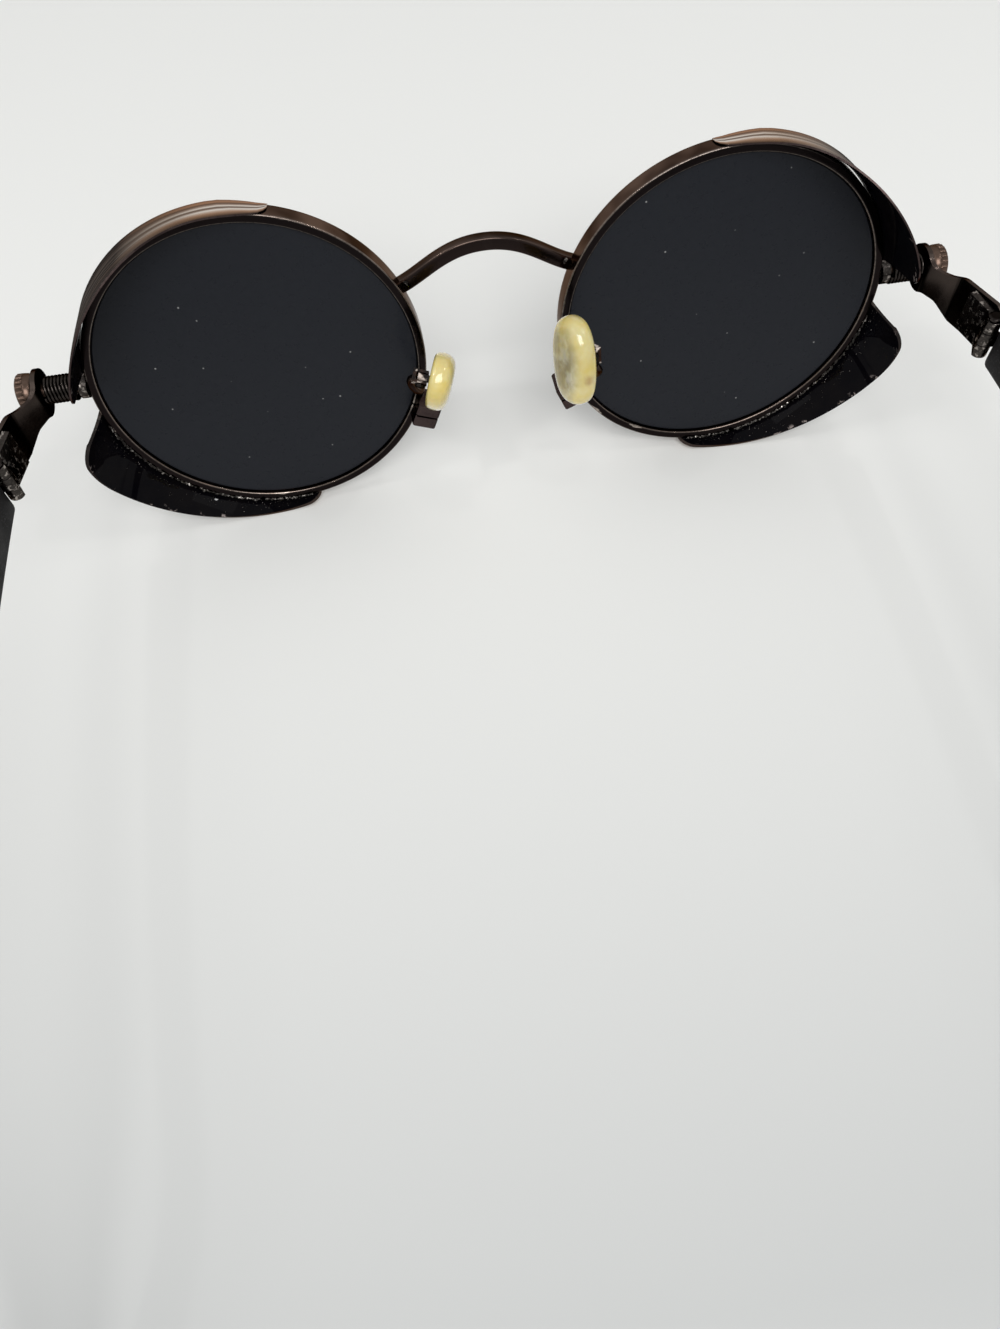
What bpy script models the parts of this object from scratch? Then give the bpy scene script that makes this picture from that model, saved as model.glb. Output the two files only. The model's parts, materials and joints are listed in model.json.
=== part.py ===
"""Round metal sunglasses with curved side shields, sprung thumb screws and folding temples.

All sizes are in metres. The wearer looks along -Y, the temples run back along +Y and the
wearer's left is +X. Each eye is modelled round the centre of its lens. The whole front leans
forward over its bottom edge, while the temples lie level and drop to the table at their tips.
"""

from math import atan2, cos, floor, hypot, pi, radians, sin, sqrt, tan

import bmesh
import bpy
from mathutils import Matrix, Vector

# Lenses and the rims that hold them.
rim_inner_radius = 0.0240
bridge_span = 0.0236
lens_spacing = 2 * rim_inner_radius + bridge_span
rim_wall = 0.0013
rim_depth = 0.0030
rim_edge_break = 0.00028
groove_depth = 0.0006
groove_half_width = 0.00075
lens_thickness = 0.0018
lens_seat = 0.00012
rim_steps = 72

# How the front stands, and the named gap that separates pieces that are brazed or seated.
front_lean = radians(8.0)
seat = 0.00012
overrun = 0.0010

# The arch between the rims.
bridge_root_angle = radians(21.5)
bridge_crown_height = 0.0141
bridge_crown_handle = 0.0060
bridge_root_handle = 0.0045
bridge_height = 0.0021
bridge_depth = 0.0020
bridge_edge_round = 0.00045
bridge_foot_share = 0.35
bridge_steps = 12

# The two sheet shields round each rim. Angles are measured at the lens centre from the
# direction that points straight out to the side, and lengths lie behind the rim's middle.
shield_thickness = 0.0006
shield_front_lap = 0.0012
shield_seat = 0.00010
top_root_angle = radians(9.5)
top_tip_angle = radians(21.0)
top_inner_angle = {1: radians(106.0), -1: radians(98.0)}
top_tip_reach = 0.0159
top_inner_reach = 0.0034
top_bulge = 0.0017
top_tip_pinch = 0.0006
top_tip_corner = 0.0030
top_inner_corner = 0.0070
top_inner_corner_depth = 0.0043
bottom_root_angle = radians(-8.0)
bottom_tip_angle = radians(-10.5)
bottom_inner_angle = radians(-99.5)
bottom_outer_reach = 0.0084
bottom_inner_reach = 0.0028
bottom_flare = 0.0049
bottom_pinch_share = 0.46
bottom_pinch_end_share = 0.20
bottom_outer_corner = 0.0026
bottom_inner_corner = 0.0025
shield_arc_steps = 18
shield_corner_steps = 4
shield_depth_steps = 4
shield_flare_power_share = 1.4
top_reach_power_share = 1.1
top_pinch_power_share = 4
bottom_reach_power_share = 1.8
bottom_flare_power_share = 1.6

# The sprung screw that carries each temple plate.
rod_height = 0.0018
rod_behind = 0.0003
lug_radius = 0.0019
lug_length = 0.0011
shank_radius = 0.0011
shank_play = 0.00010
shank_tip_setback = 0.0004
spring_wire = 0.00045
spring_mean_radius = 0.00182
spring_turn_gap = 0.00042
spring_end_gap = 0.00012
spring_room = 0.00548
spring_points_per_turn = 10
knob_radius = 0.0029
knob_length = 0.0022
knob_ridges = 24
knob_ridge_depth = 0.00024
knob_edge_round = 0.0005
knob_collar_radius = 0.0021
knob_collar_length = 0.0003

# The sheet plate that reaches from the screw back to the hinge.
plate_thickness = 0.0007
plate_eye_radius = 0.0036
plate_eye_drop = 0.0004
plate_ramp_start = 0.0022
plate_ramp_end = 0.0063
plate_ramp = radians(40.0)
plate_splay = radians(15.0)
plate_bend_run = 0.0008
plate_bend_cut_shares = (-0.5, 0.0, 0.5)
plate_neck_reach = 0.0044
plate_neck_top = 0.0017
plate_neck_bottom = -0.0033
plate_blade_reach = 0.0076
plate_blade_top = 0.0026
plate_blade_bottom = -0.0054
plate_blade_rise = 0.0007
plate_end_reach = 0.0150
plate_corner = 0.0012
plate_corner_cut_share = 0.3
plate_handle_share = 0.30
plate_eye_top_angle = radians(48.0)
plate_eye_low_angle = radians(-52.0)

# The three-knuckle hinge behind the plate.
hinge_reach = 0.0154
hinge_below_rod = 0.0006
knuckle_radius = 0.00125
knuckle_height = 0.0021
knuckle_gap = 0.00012
leaf_thickness = 0.0011
leaf_length = 0.0060
hinge_screw_radius = 0.00055
hinge_screw_play = 0.00008
hinge_head_radius = 0.0011
hinge_head_height = 0.0005
hinge_head_side_share = 0.6
hinge_head_top_share = 0.75
leaf_shoulder_share = 1.3

# The temple: a flat metal core in a plastic sleeve.
sleeve_front_gap = 0.0016
sleeve_thickness = 0.0028
sleeve_side_shift = 0.0002
sleeve_height = 0.0086
sleeve_waist_height = 0.0050
sleeve_tail_height = 0.0062
sleeve_edge_round = 0.0008
temple_straight = 0.0880
temple_bend_radius = 0.0250
temple_tail = 0.0360
least_temple_drop = radians(5.0)
most_temple_drop = radians(85.0)
temple_splay = radians(3.0)
temple_bow_radius = 0.7000
core_front_gap = 0.0012
core_thickness = 0.0011
core_height = 0.0054
core_tail_height = 0.0022
core_play = 0.00015
core_tail_gap = 0.0120
temple_steps = 20
temple_bend_steps_share = 0.45
sleeve_swell_share = 1.25
sleeve_end_shares = (1 / 3, 2 / 3, 8 / 9)

# Nose pads. Each pad has been rocked by hand, so the two lean by different angles.
pad_length = 0.0128
pad_width = 0.0082
pad_face_crown = 0.0018
pad_back = 0.0016
pad_crown_shares = ((0.0, 0.92), (0.12, 0.98), (0.45, 1.0), (0.70, 0.94), (0.88, 0.78), (1.0, 0.50))
pad_length_follow_share = 0.62
pad_side_power_share = 0.8
pad_end_power_share = 0.9
pad_centre = {1: (0.0091, 0.0100, 0.0004), -1: (0.0101, 0.0132, 0.0032)}
pad_splay = radians(22.0)
pad_lean = {1: radians(-45.0), -1: radians(15.0)}
pad_pivot_reach = 0.0029
insert_length = 0.0070
insert_width = 0.0036
insert_thickness = 0.0004
insert_play = 0.0001
tab_thickness = 0.0009
tab_half_height = 0.0008
tab_end = 0.00055
box_wall = 0.0004
box_half_height = 0.0012
box_mouth = 0.0009
box_floor = 0.00085
box_back_wall = 0.0005
tab_play = 0.00012
pad_screw_radius = 0.00035
pad_screw_play = 0.00008
pad_screw_head_radius = 0.0008
pad_screw_head_height = 0.0004
pad_screw_head_top_share = 0.8
arm_wire_radius = 0.00055
arm_root_angle = radians(193.0)
arm_root_handle = 0.0058
arm_box_handle = 0.0036
arm_box_bend = radians(55.0)
arm_steps = 12

# The split block that closes each rim round its lens.
lock_angle = radians(203.0)
lock_slit = 0.0003
lock_block_length = 0.0018
lock_block_height = 0.0026
lock_block_front = 0.0004
lock_block_behind = 0.0044
lock_block_inset = 0.0003
lock_block_bevel = 0.00025
lock_screw_radius = 0.0005
lock_screw_play = 0.0001
lock_head_radius = 0.0009
lock_head_height = 0.0005
lock_head_top_share = 0.8

# Numbers of facets on round pieces.
large_round = 24
small_round = 16
tube_round = 8

rim_outer_radius = rim_inner_radius + rim_wall
LEFT_AND_RIGHT = ((1, "left"), (-1, "right"))


def clear_objects():
    """Remove what the scene holds, so that the part stands alone."""
    for old in list(bpy.data.objects):
        bpy.data.objects.remove(old, do_unlink=True)


def make_material(name, colour, roughness, metallic):
    """One Principled material with a plain colour."""
    material = bpy.data.materials.new(name)
    material.use_nodes = True
    shader = material.node_tree.nodes["Principled BSDF"]
    shader.inputs["Base Color"].default_value = (*colour, 1.0)
    shader.inputs["Roughness"].default_value = roughness
    shader.inputs["Metallic"].default_value = metallic
    material.diffuse_color = (*colour, 1.0)
    return material


def make_frame(name, parent, location=(0, 0, 0), rotation=None):
    """An empty that carries pieces; its origin is where they are measured from."""
    frame = bpy.data.objects.new(name, None)
    bpy.context.scene.collection.objects.link(frame)
    frame.parent = parent
    frame.location = location
    if rotation is not None:
        frame.rotation_euler = rotation.to_euler()
    return frame


def add_piece(name, shape, material, parent, side=1, sharp_angle=radians(35.0)):
    """Turn a bmesh that is drawn for the wearer's left into a named object on its own side."""
    if side < 0:
        bmesh.ops.scale(shape, vec=(-1, 1, 1), verts=shape.verts)
    bmesh.ops.recalc_face_normals(shape, faces=shape.faces)
    mesh = bpy.data.meshes.new(name)
    shape.to_mesh(mesh)
    shape.free()
    mesh.materials.append(material)
    mesh.shade_smooth()
    mesh.set_sharp_from_angle(angle=sharp_angle)
    piece = bpy.data.objects.new(name, mesh)
    bpy.context.scene.collection.objects.link(piece)
    piece.parent = parent
    return piece


def cut_away(piece, name, shape, operation="DIFFERENCE", side=1):
    """Cut a hidden guide shape out of a piece, or join it on."""
    if side < 0:
        bmesh.ops.scale(shape, vec=(-1, 1, 1), verts=shape.verts)
    bmesh.ops.recalc_face_normals(shape, faces=shape.faces)
    mesh = bpy.data.meshes.new(name)
    shape.to_mesh(mesh)
    shape.free()
    cutter = bpy.data.objects.new(name, mesh)
    bpy.context.scene.collection.objects.link(cutter)
    cutter.parent = piece.parent
    cutter.hide_render = True
    cutter.display_type = "WIRE"
    step = piece.modifiers.new(name, "BOOLEAN")
    step.operation = operation
    step.object = cutter
    return cutter


def loft(rings, closed=False):
    """Skin a row of rings that have the same number of points, and cap the two ends."""
    shape = bmesh.new()
    rows = [[shape.verts.new(point) for point in ring] for ring in rings]
    pairs = list(zip(rows, rows[1:]))
    if closed:
        pairs.append((rows[-1], rows[0]))
    for near, far in pairs:
        for index in range(len(near)):
            after = (index + 1) % len(near)
            shape.faces.new((near[index], near[after], far[after], far[index]))
    if not closed:
        shape.faces.new(rows[0])
        shape.faces.new(rows[-1])
    return shape


def circle(radius, count, place):
    """Points round a circle; place turns the two plane values into a point in space."""
    angles = [2 * pi * step / count for step in range(count)]
    return [place(radius * cos(angle), radius * sin(angle)) for angle in angles]


def turned(stations, count, across, along, centre=Vector()):
    """A turned solid: stations are (distance along the axis, radius) pairs."""
    other = along.cross(across)
    rings = []
    for distance, radius in stations:
        middle = centre + along * distance
        rings.append(circle(radius, count, lambda a, b: middle + across * a + other * b))
    return loft(rings)


def prism(outline, low, high, place):
    """Extrude a flat outline between two levels; place maps (a, b, level) to a point."""
    return loft([[place(a, b, low) for a, b in outline], [place(a, b, high) for a, b in outline]])


def rounded_box(size_a, size_b, corner, corner_steps=2):
    """The outline of a rectangle with round corners, centred on zero."""
    outline = []
    for turn, (sign_a, sign_b) in enumerate(((1, 1), (-1, 1), (-1, -1), (1, -1))):
        middle = (sign_a * (size_a / 2 - corner), sign_b * (size_b / 2 - corner))
        for step in range(corner_steps + 1):
            angle = (turn + step / corner_steps) * pi / 2
            outline.append((middle[0] + corner * cos(angle), middle[1] + corner * sin(angle)))
    return outline


def bezier(start, handle_a, handle_b, end, steps):
    """Points on a cubic curve, with both ends."""
    points = []
    for step in range(steps + 1):
        share = step / steps
        back = 1 - share
        weights = (back ** 3, 3 * back * back * share, 3 * back * share * share, share ** 3)
        corners = (start, handle_a, handle_b, end)
        points.append(sum((Vector(c) * w for c, w in zip(corners, weights)), Vector(start) * 0))
    return points


def sweep(path, sections, sideways):
    """Carry sections along a path; each section lies across the path at its point."""
    rings = []
    last = len(path) - 1
    for index, (point, outline) in enumerate(zip(path, sections)):
        along = (path[min(index + 1, last)] - path[max(index - 1, 0)]).normalized()
        across = (sideways - along * sideways.dot(along)).normalized()
        up = across.cross(along)
        rings.append([point + across * a + up * b for a, b in outline])
    return loft(rings)


def box_between(low, high):
    """A plain block between two corners."""
    shape = bmesh.new()
    bmesh.ops.create_cube(shape, size=1)
    middle = (Vector(low) + Vector(high)) / 2
    bmesh.ops.scale(shape, vec=Vector(high) - Vector(low), verts=shape.verts)
    bmesh.ops.translate(shape, vec=middle, verts=shape.verts)
    return shape


X = Vector((1, 0, 0))
Y = Vector((0, 1, 0))
Z = Vector((0, 0, 1))


def eye_point(angle, radius, behind):
    """A point near the rim, by its angle, its radius and how far it lies behind the middle."""
    return Vector((radius * cos(angle), behind, radius * sin(angle)))


def build_rim(side, word, eye, finish):
    """An open ring with a V groove inside for the lens and a slit at the closing block."""
    half = rim_depth / 2
    inner_break = rim_edge_break / 2
    profile = [
        (rim_inner_radius, -groove_half_width),
        (rim_inner_radius, -half + inner_break),
        (rim_inner_radius + inner_break, -half),
        (rim_outer_radius - rim_edge_break, -half),
        (rim_outer_radius, -half + rim_edge_break),
        (rim_outer_radius, half - rim_edge_break),
        (rim_outer_radius - rim_edge_break, half),
        (rim_inner_radius + inner_break, half),
        (rim_inner_radius, half - inner_break),
        (rim_inner_radius, groove_half_width),
        (rim_inner_radius + groove_depth, 0),
    ]
    slit_half_angle = lock_slit / 2 / rim_outer_radius
    start = lock_angle + slit_half_angle
    shape = bmesh.new()
    corners = [shape.verts.new(eye_point(start, radius, behind)) for radius, behind in profile]
    edges = [shape.edges.new((a, b)) for a, b in zip(corners, corners[1:] + corners[:1])]
    bmesh.ops.spin(
        shape,
        geom=corners + edges,
        cent=(0, 0, 0),
        axis=-Y,
        angle=2 * pi - 2 * slit_half_angle,
        steps=rim_steps,
    )
    bmesh.ops.holes_fill(shape, edges=[edge for edge in shape.edges if edge.is_boundary])
    return add_piece(f"rim_{word}", shape, finish, eye, side)


def build_lens(side, word, eye, finish):
    """A flat tinted disc whose edge is bevelled to a ridge that sits in the rim's groove."""
    half = lens_thickness / 2
    slope = groove_depth / groove_half_width
    ridge = rim_inner_radius + groove_depth - lens_seat
    face_radius = ridge - slope * half
    stations = ((-half, face_radius), (0, ridge), (half, face_radius))
    shape = turned(stations, rim_steps, X, Y)
    return add_piece(f"lens_{word}", shape, finish, eye, side)


def corner_stations(length, corner_a, corner_b):
    """Distances along a shield, closer together where its two end corners are round."""
    quarter = [pi / 2 * step / shield_corner_steps for step in range(shield_corner_steps + 1)]
    first = [corner_a * (1 - cos(angle)) for angle in quarter]
    last = [length - corner_b * (1 - cos(angle)) for angle in reversed(quarter)]
    span = last[0] - first[-1]
    middle = [first[-1] + span * step / shield_arc_steps for step in range(1, shield_arc_steps)]
    return first + middle + last


def corner_drop(distance, corner, depth):
    """How much shorter a shield is near an end, so that its corner is a quarter ellipse."""
    if distance >= corner:
        return 0.0
    return depth * (1 - sqrt(max(1 - (1 - distance / corner) ** 2, 0)))


def shield_shape(root_angle, tip_angle, inner_angle, reach, flare, corners, corner_depths):
    """A curved sheet round the rim; reach and flare are functions of the share of its length."""
    length = abs(inner_angle - tip_angle) * rim_outer_radius
    base = rim_outer_radius + shield_seat
    full_reach = reach(0)
    rings = []
    for distance in corner_stations(length, *corners):
        share = distance / length
        drop = corner_drop(distance, corners[0], corner_depths[0])
        drop += corner_drop(length - distance, corners[1], corner_depths[1])
        depth = reach(share) - drop
        spread = flare(share) * depth / reach(share)
        inner_side = []
        for step in range(shield_depth_steps + 1):
            run = step / shield_depth_steps
            behind = -shield_front_lap + (depth + shield_front_lap) * run
            inner_side.append((base + spread * run ** shield_flare_power_share, behind))
        outer_side = []
        for step in range(shield_depth_steps + 1):
            here = inner_side[step]
            before = inner_side[max(step - 1, 0)]
            after = inner_side[min(step + 1, shield_depth_steps)]
            run_radius = after[0] - before[0]
            run_behind = after[1] - before[1]
            size = hypot(run_radius, run_behind)
            outer_side.append(
                (
                    here[0] + shield_thickness * run_behind / size,
                    here[1] - shield_thickness * run_radius / size,
                )
            )
        ring = []
        for radius, behind in inner_side + outer_side[::-1]:
            slant = min(max(behind / full_reach, 0), 1)
            end_angle = root_angle + (tip_angle - root_angle) * slant
            ring.append(eye_point(end_angle + (inner_angle - end_angle) * share, radius, behind))
        rings.append(ring)
    return loft(rings)


def top_shield(side):
    """The larger shield: deep at the temple, dying out over the top of the rim."""

    def reach(share):
        fall = ((1 + cos(pi * share)) / 2) ** top_reach_power_share
        return top_inner_reach + (top_tip_reach - top_inner_reach) * fall

    def flare(share):
        pinch = top_tip_pinch * (1 - share) ** top_pinch_power_share
        return top_bulge * sin(pi * share) - pinch

    corners = (top_tip_corner, top_inner_corner)
    depths = (top_tip_corner, top_inner_corner_depth)
    return shield_shape(
        top_root_angle, top_tip_angle, top_inner_angle[side], reach, flare, corners, depths
    )


def bottom_shield():
    """The lower shield: a gutter that flares out and gets shallower under the eye."""

    def reach(share):
        fall = (1 - share) ** bottom_reach_power_share
        return bottom_inner_reach + (bottom_outer_reach - bottom_inner_reach) * fall

    def flare(share):
        near_tip = max(1 - share / bottom_pinch_end_share, 0)
        opening = 1 - share ** bottom_flare_power_share
        return bottom_flare * opening * (1 - bottom_pinch_share * near_tip ** 2)

    corners = (bottom_outer_corner, bottom_inner_corner)
    return shield_shape(
        bottom_root_angle, bottom_tip_angle, bottom_inner_angle, reach, flare, corners, corners
    )


def build_bridge(front, finish):
    """A square-edged arch whose feet are brazed on the front faces of both rims."""
    foot_radius = rim_inner_radius + rim_wall * bridge_foot_share
    forward = rim_depth / 2 + seat + bridge_depth / 2
    half_spacing = lens_spacing / 2
    toward_nose = pi - bridge_root_angle
    foot = Vector((half_spacing, 0, 0)) + eye_point(toward_nose, foot_radius, -forward)
    outward = Vector((cos(toward_nose), 0, sin(toward_nose)))
    crown = Vector((0, -forward, bridge_crown_height))
    crown_handle = crown + X * bridge_crown_handle
    foot_handle = foot + outward * bridge_root_handle
    half_path = bezier(crown, crown_handle, foot_handle, foot, bridge_steps)
    other_half = [Vector((-point.x, point.y, point.z)) for point in half_path[:0:-1]]
    path = other_half + half_path
    outline = rounded_box(bridge_depth, bridge_height, bridge_edge_round, 1)
    shape = sweep(path, [outline] * len(path), Y)
    return add_piece("bridge", shape, finish, front)


def build_end_lug(side, word, eye, finish):
    """A bored boss, saddled to the rim, that the thumb screw runs into."""
    outer_x = lug_outer_x()
    inner_x = rim_outer_radius - overrun
    centre = Vector((0, rod_behind, rod_height))
    shape = turned(((inner_x, lug_radius), (outer_x, lug_radius)), large_round, Y, X, centre)
    lug = add_piece(f"end_lug_{word}", shape, finish, eye, side)
    bore_radius = shank_radius + shank_play
    bore = turned(
        ((inner_x - overrun, bore_radius), (outer_x + overrun, bore_radius)),
        small_round, Y, X, centre,
    )
    cut_away(lug, f"lug_bore_{word}", bore, side=side)
    saddle_radius = rim_outer_radius + seat
    reach = rim_depth / 2 + lug_radius
    saddle = turned(((-reach, saddle_radius), (reach, saddle_radius)), rim_steps, X, Y)
    cut_away(lug, f"lug_saddle_{word}", saddle, side=side)
    return lug


def lug_outer_x():
    """Where the lug ends, measured from the lens centre along the rod."""
    return rim_outer_radius + seat + lug_length


def plate_inner_from_lens():
    """The inner face of the temple plate, measured from the lens centre."""
    return lug_outer_x() + spring_room


def spring_path():
    """A helix on the screw whose two ends straighten along the screw to meet lug and plate."""
    start = lug_outer_x() + spring_end_gap
    end = plate_inner_from_lens() - spring_end_gap
    lead = spring_wire
    coil_start = start + lead + spring_wire / 2
    coil_end = end - lead - spring_wire / 2
    turns = floor((coil_end - coil_start) / (spring_wire + spring_turn_gap))
    steps = turns * spring_points_per_turn
    centre = Vector((0, rod_behind, rod_height))
    points = []
    for step in range(steps + 1):
        angle = 2 * pi * step / spring_points_per_turn
        x = coil_start + (coil_end - coil_start) * step / steps
        ring = Vector((0, cos(angle), sin(angle))) * spring_mean_radius
        points.append(centre + ring + X * x)
    head = points[0] - X * (points[0].x - start)
    tail = points[-1] + X * (end - points[-1].x)
    return [head] + points + [tail], turns


def least_gap(points, wire):
    """The smallest clear distance between two stretches of the wire a turn apart."""
    skip = spring_points_per_turn // 2
    helix = points[1:-1]
    gaps = []
    for first in range(len(helix) - 1):
        for second in range(first + skip, len(helix) - 1):
            for share in (0, 1 / 4, 1 / 2, 3 / 4):
                a = helix[first].lerp(helix[first + 1], share)
                b = helix[second].lerp(helix[second + 1], share)
                gaps.append((a - b).length - wire)
    return min(gaps)


def build_spring(side, word, eye, finish):
    """One wound wire, drawn as a bevelled curve; both sides are wound the same way."""
    path, turns = spring_path()
    curve = bpy.data.curves.new(f"coil_spring_{word}", "CURVE")
    curve.dimensions = "3D"
    curve.bevel_depth = spring_wire / 2
    curve.bevel_resolution = 1
    curve.use_fill_caps = True
    spline = curve.splines.new("POLY")
    spline.points.add(len(path) - 1)
    for slot, point in zip(spline.points, path):
        above_rod = side * (point.z - rod_height)
        slot.co = (side * point.x, point.y, rod_height + above_rod, 1)
    curve.materials.append(finish)
    spring = bpy.data.objects.new(f"coil_spring_{word}", curve)
    bpy.context.scene.collection.objects.link(spring)
    spring.parent = eye
    gap = least_gap(path, spring_wire)
    print(f"coil_spring_{word}: {turns} turns, least gap to itself {gap * 1000:.3f} mm")
    return spring


def build_thumb_screw(side, word, eye, finish):
    """A ridged head outside the plate on a shank that runs through the spring to the lug."""
    under_head = plate_inner_from_lens() + plate_thickness + seat
    shank_end = rim_outer_radius + seat + shank_tip_setback
    collar_end = under_head + knob_collar_length
    top = collar_end + knob_length
    root = knob_radius - knob_ridge_depth
    face = knob_radius - knob_edge_round
    chamfer = shank_radius / 4
    stations = [
        (shank_end, shank_radius - chamfer, 0),
        (shank_end + chamfer, shank_radius, 0),
        (under_head, shank_radius, 0),
        (under_head, knob_collar_radius, 0),
        (collar_end, knob_collar_radius, 0),
        (collar_end, face - knob_ridge_depth, 0),
        (collar_end + knob_edge_round, root, knob_ridge_depth),
        (top - knob_edge_round, root, knob_ridge_depth),
        (top, face - knob_ridge_depth, 0),
        (top + knob_edge_round / 2, face / 2, 0),
    ]
    rings = []
    count = 2 * knob_ridges
    for x, radius, ridge in stations:
        ring = []
        for step in range(count):
            angle = 2 * pi * step / count
            size = radius + ridge * (step % 2)
            ring.append(Vector((x, size * cos(angle), size * sin(angle))))
        rings.append(ring)
    shape = loft(rings)
    axis = make_frame(f"screw_axis_{word}", eye, (0, rod_behind, rod_height))
    return add_piece(f"thumb_screw_{word}", shape, finish, axis, side)


def plate_face_x(reach):
    """How far out the plate's inner face is, at a distance behind the screw."""
    on_ramp = min(max(reach - plate_ramp_start, 0), plate_ramp_end - plate_ramp_start)
    on_blade = max(reach - plate_ramp_end, 0)
    return on_ramp * tan(plate_ramp) + on_blade * tan(plate_splay)


def plate_push(reach):
    """The same with its two bends rounded, as the sheet is bent."""
    samples = 9
    spread = [(step / (samples - 1) - 1 / 2) * plate_bend_run for step in range(samples)]
    return sum(plate_face_x(reach + offset) for offset in spread) / samples


def plate_outline():
    """The plate from the side as (behind the screw, above the screw) points."""
    top_angle = plate_eye_top_angle
    low_angle = plate_eye_low_angle
    eye_steps = large_round
    sweep_angle = 2 * pi - (top_angle - low_angle)
    eye = []
    for step in range(eye_steps + 1):
        angle = top_angle + sweep_angle * step / eye_steps
        eye.append((plate_eye_radius * cos(angle), plate_eye_radius * sin(angle) - plate_eye_drop))
    handle = plate_eye_radius * plate_handle_share
    neck_low = (plate_neck_reach - plate_thickness, plate_neck_bottom)
    neck_top = (plate_neck_reach, plate_neck_top)
    low_start = Vector(eye[-1])
    low_slope = Vector((-sin(low_angle), cos(low_angle)))
    top_start = Vector(eye[0])
    top_slope = Vector((sin(top_angle), -cos(top_angle)))
    blade_low = Vector((plate_blade_reach - plate_thickness, plate_blade_bottom))
    blade_top = Vector((plate_blade_reach, plate_blade_top))
    neck_half = Vector((handle, 0))
    curve_steps = 6
    under = bezier(low_start, low_start + low_slope * handle / 2, Vector(neck_low) - neck_half / 2,
                   Vector(neck_low), curve_steps)
    under += bezier(Vector(neck_low), Vector(neck_low) + neck_half, blade_low - neck_half,
                    blade_low, curve_steps)[1:]
    over = bezier(blade_top, blade_top - neck_half, Vector(neck_top) + neck_half,
                  Vector(neck_top), curve_steps)
    over += bezier(Vector(neck_top), Vector(neck_top) - neck_half, top_start + top_slope * handle,
                   top_start, curve_steps)[1:]
    end_bottom_z = plate_blade_bottom + plate_blade_rise
    end_top_z = plate_blade_top + plate_blade_rise
    corner_inset = plate_corner * plate_corner_cut_share
    end_low = [
        (plate_end_reach - plate_corner, end_bottom_z),
        (plate_end_reach - corner_inset, end_bottom_z + corner_inset),
        (plate_end_reach, end_bottom_z + plate_corner),
    ]
    end_top = [
        (plate_end_reach, end_top_z - plate_corner),
        (plate_end_reach - corner_inset, end_top_z - corner_inset),
        (plate_end_reach - plate_corner, end_top_z),
    ]
    outline = eye + [tuple(p) for p in under[1:]] + end_low + end_top
    outline += [tuple(p) for p in over[:-1]]
    return outline


def build_plate(side, word, level, finish):
    """Stamped sheet: an eye on the screw, a narrow neck, and a blade bent outwards."""
    shape = prism(plate_outline(), 0, plate_thickness, lambda a, b, level: Vector((level, a, b)))
    for bend in (plate_ramp_start, plate_ramp_end):
        for share in plate_bend_cut_shares:
            geometry = shape.verts[:] + shape.edges[:] + shape.faces[:]
            cut_at = Y * (bend + plate_bend_run * share)
            bmesh.ops.bisect_plane(shape, geom=geometry, plane_co=cut_at, plane_no=Y)
    for corner in shape.verts:
        corner.co.x += plate_push(corner.co.y)
    plate = add_piece(f"temple_plate_{word}", shape, finish, level, side)
    bore_radius = shank_radius + shank_play
    bore = turned(
        ((-overrun, bore_radius), (plate_thickness + overrun, bore_radius)), small_round, Y, X
    )
    cut_away(plate, f"plate_bore_{word}", bore, side=side)
    return plate


def hinge_pivot():
    """The hinge axis in the level frame of the screw, for the wearer's left."""
    inward = Vector((-cos(plate_splay), sin(plate_splay), 0))
    on_face = Vector((plate_face_x(hinge_reach), hinge_reach, 0))
    return on_face + inward * (seat + knuckle_radius) - Z * hinge_below_rod


def hinge_half_height():
    """Half the height of the three knuckles with the gaps between them."""
    return (3 * knuckle_height + 2 * knuckle_gap) / 2


def knuckle_arc(start_angle, end_angle, steps=10):
    """Points round a knuckle in plan, about the hinge axis."""
    points = []
    for step in range(steps + 1):
        angle = start_angle + (end_angle - start_angle) * step / steps
        points.append((knuckle_radius * cos(angle), knuckle_radius * sin(angle)))
    return points


def upright(a, b, level):
    """Plan values and a height as a point."""
    return Vector((a, b, level))


def hinge_bore(word, owner, piece, side):
    """The hole for the hinge screw, through all knuckles."""
    radius = hinge_screw_radius + hinge_screw_play
    reach = hinge_half_height() + overrun
    shape = turned(((-reach, radius), (reach, radius)), small_round, X, Z)
    cut_away(piece, f"{owner}_bore_{word}", shape, side=side)


def build_front_leaf(side, word, fold, finish):
    """The hinge half that is brazed to the plate: a leaf with an upper and a lower knuckle."""
    splay_direction = atan2(cos(plate_splay), sin(plate_splay))
    inward = splay_direction + pi / 2
    back = Vector((cos(splay_direction), sin(splay_direction)))
    in_plan = Vector((cos(inward), sin(inward)))
    outer_line = -in_plan * knuckle_radius
    inner_line = outer_line + in_plan * leaf_thickness
    start = -back * leaf_length
    shoulder = -back * knuckle_radius * leaf_shoulder_share
    outline = knuckle_arc(inward - pi, inward)
    outline += [tuple(inner_line + shoulder), tuple(inner_line + start), tuple(outer_line + start)]
    half = hinge_half_height()
    shape = prism(outline, -half, half, upright)
    leaf = add_piece(f"hinge_front_leaf_{word}", shape, finish, fold, side)
    slot_half = knuckle_height / 2 + knuckle_gap
    clear = knuckle_radius + knuckle_gap
    slot = box_between(
        (-clear - leaf_length, -clear, -slot_half), (clear + leaf_length, clear + overrun, slot_half)
    )
    cut_away(leaf, f"leaf_slot_{word}", slot, side=side)
    hinge_bore(word, "front_leaf", leaf, side)
    return leaf


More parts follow.
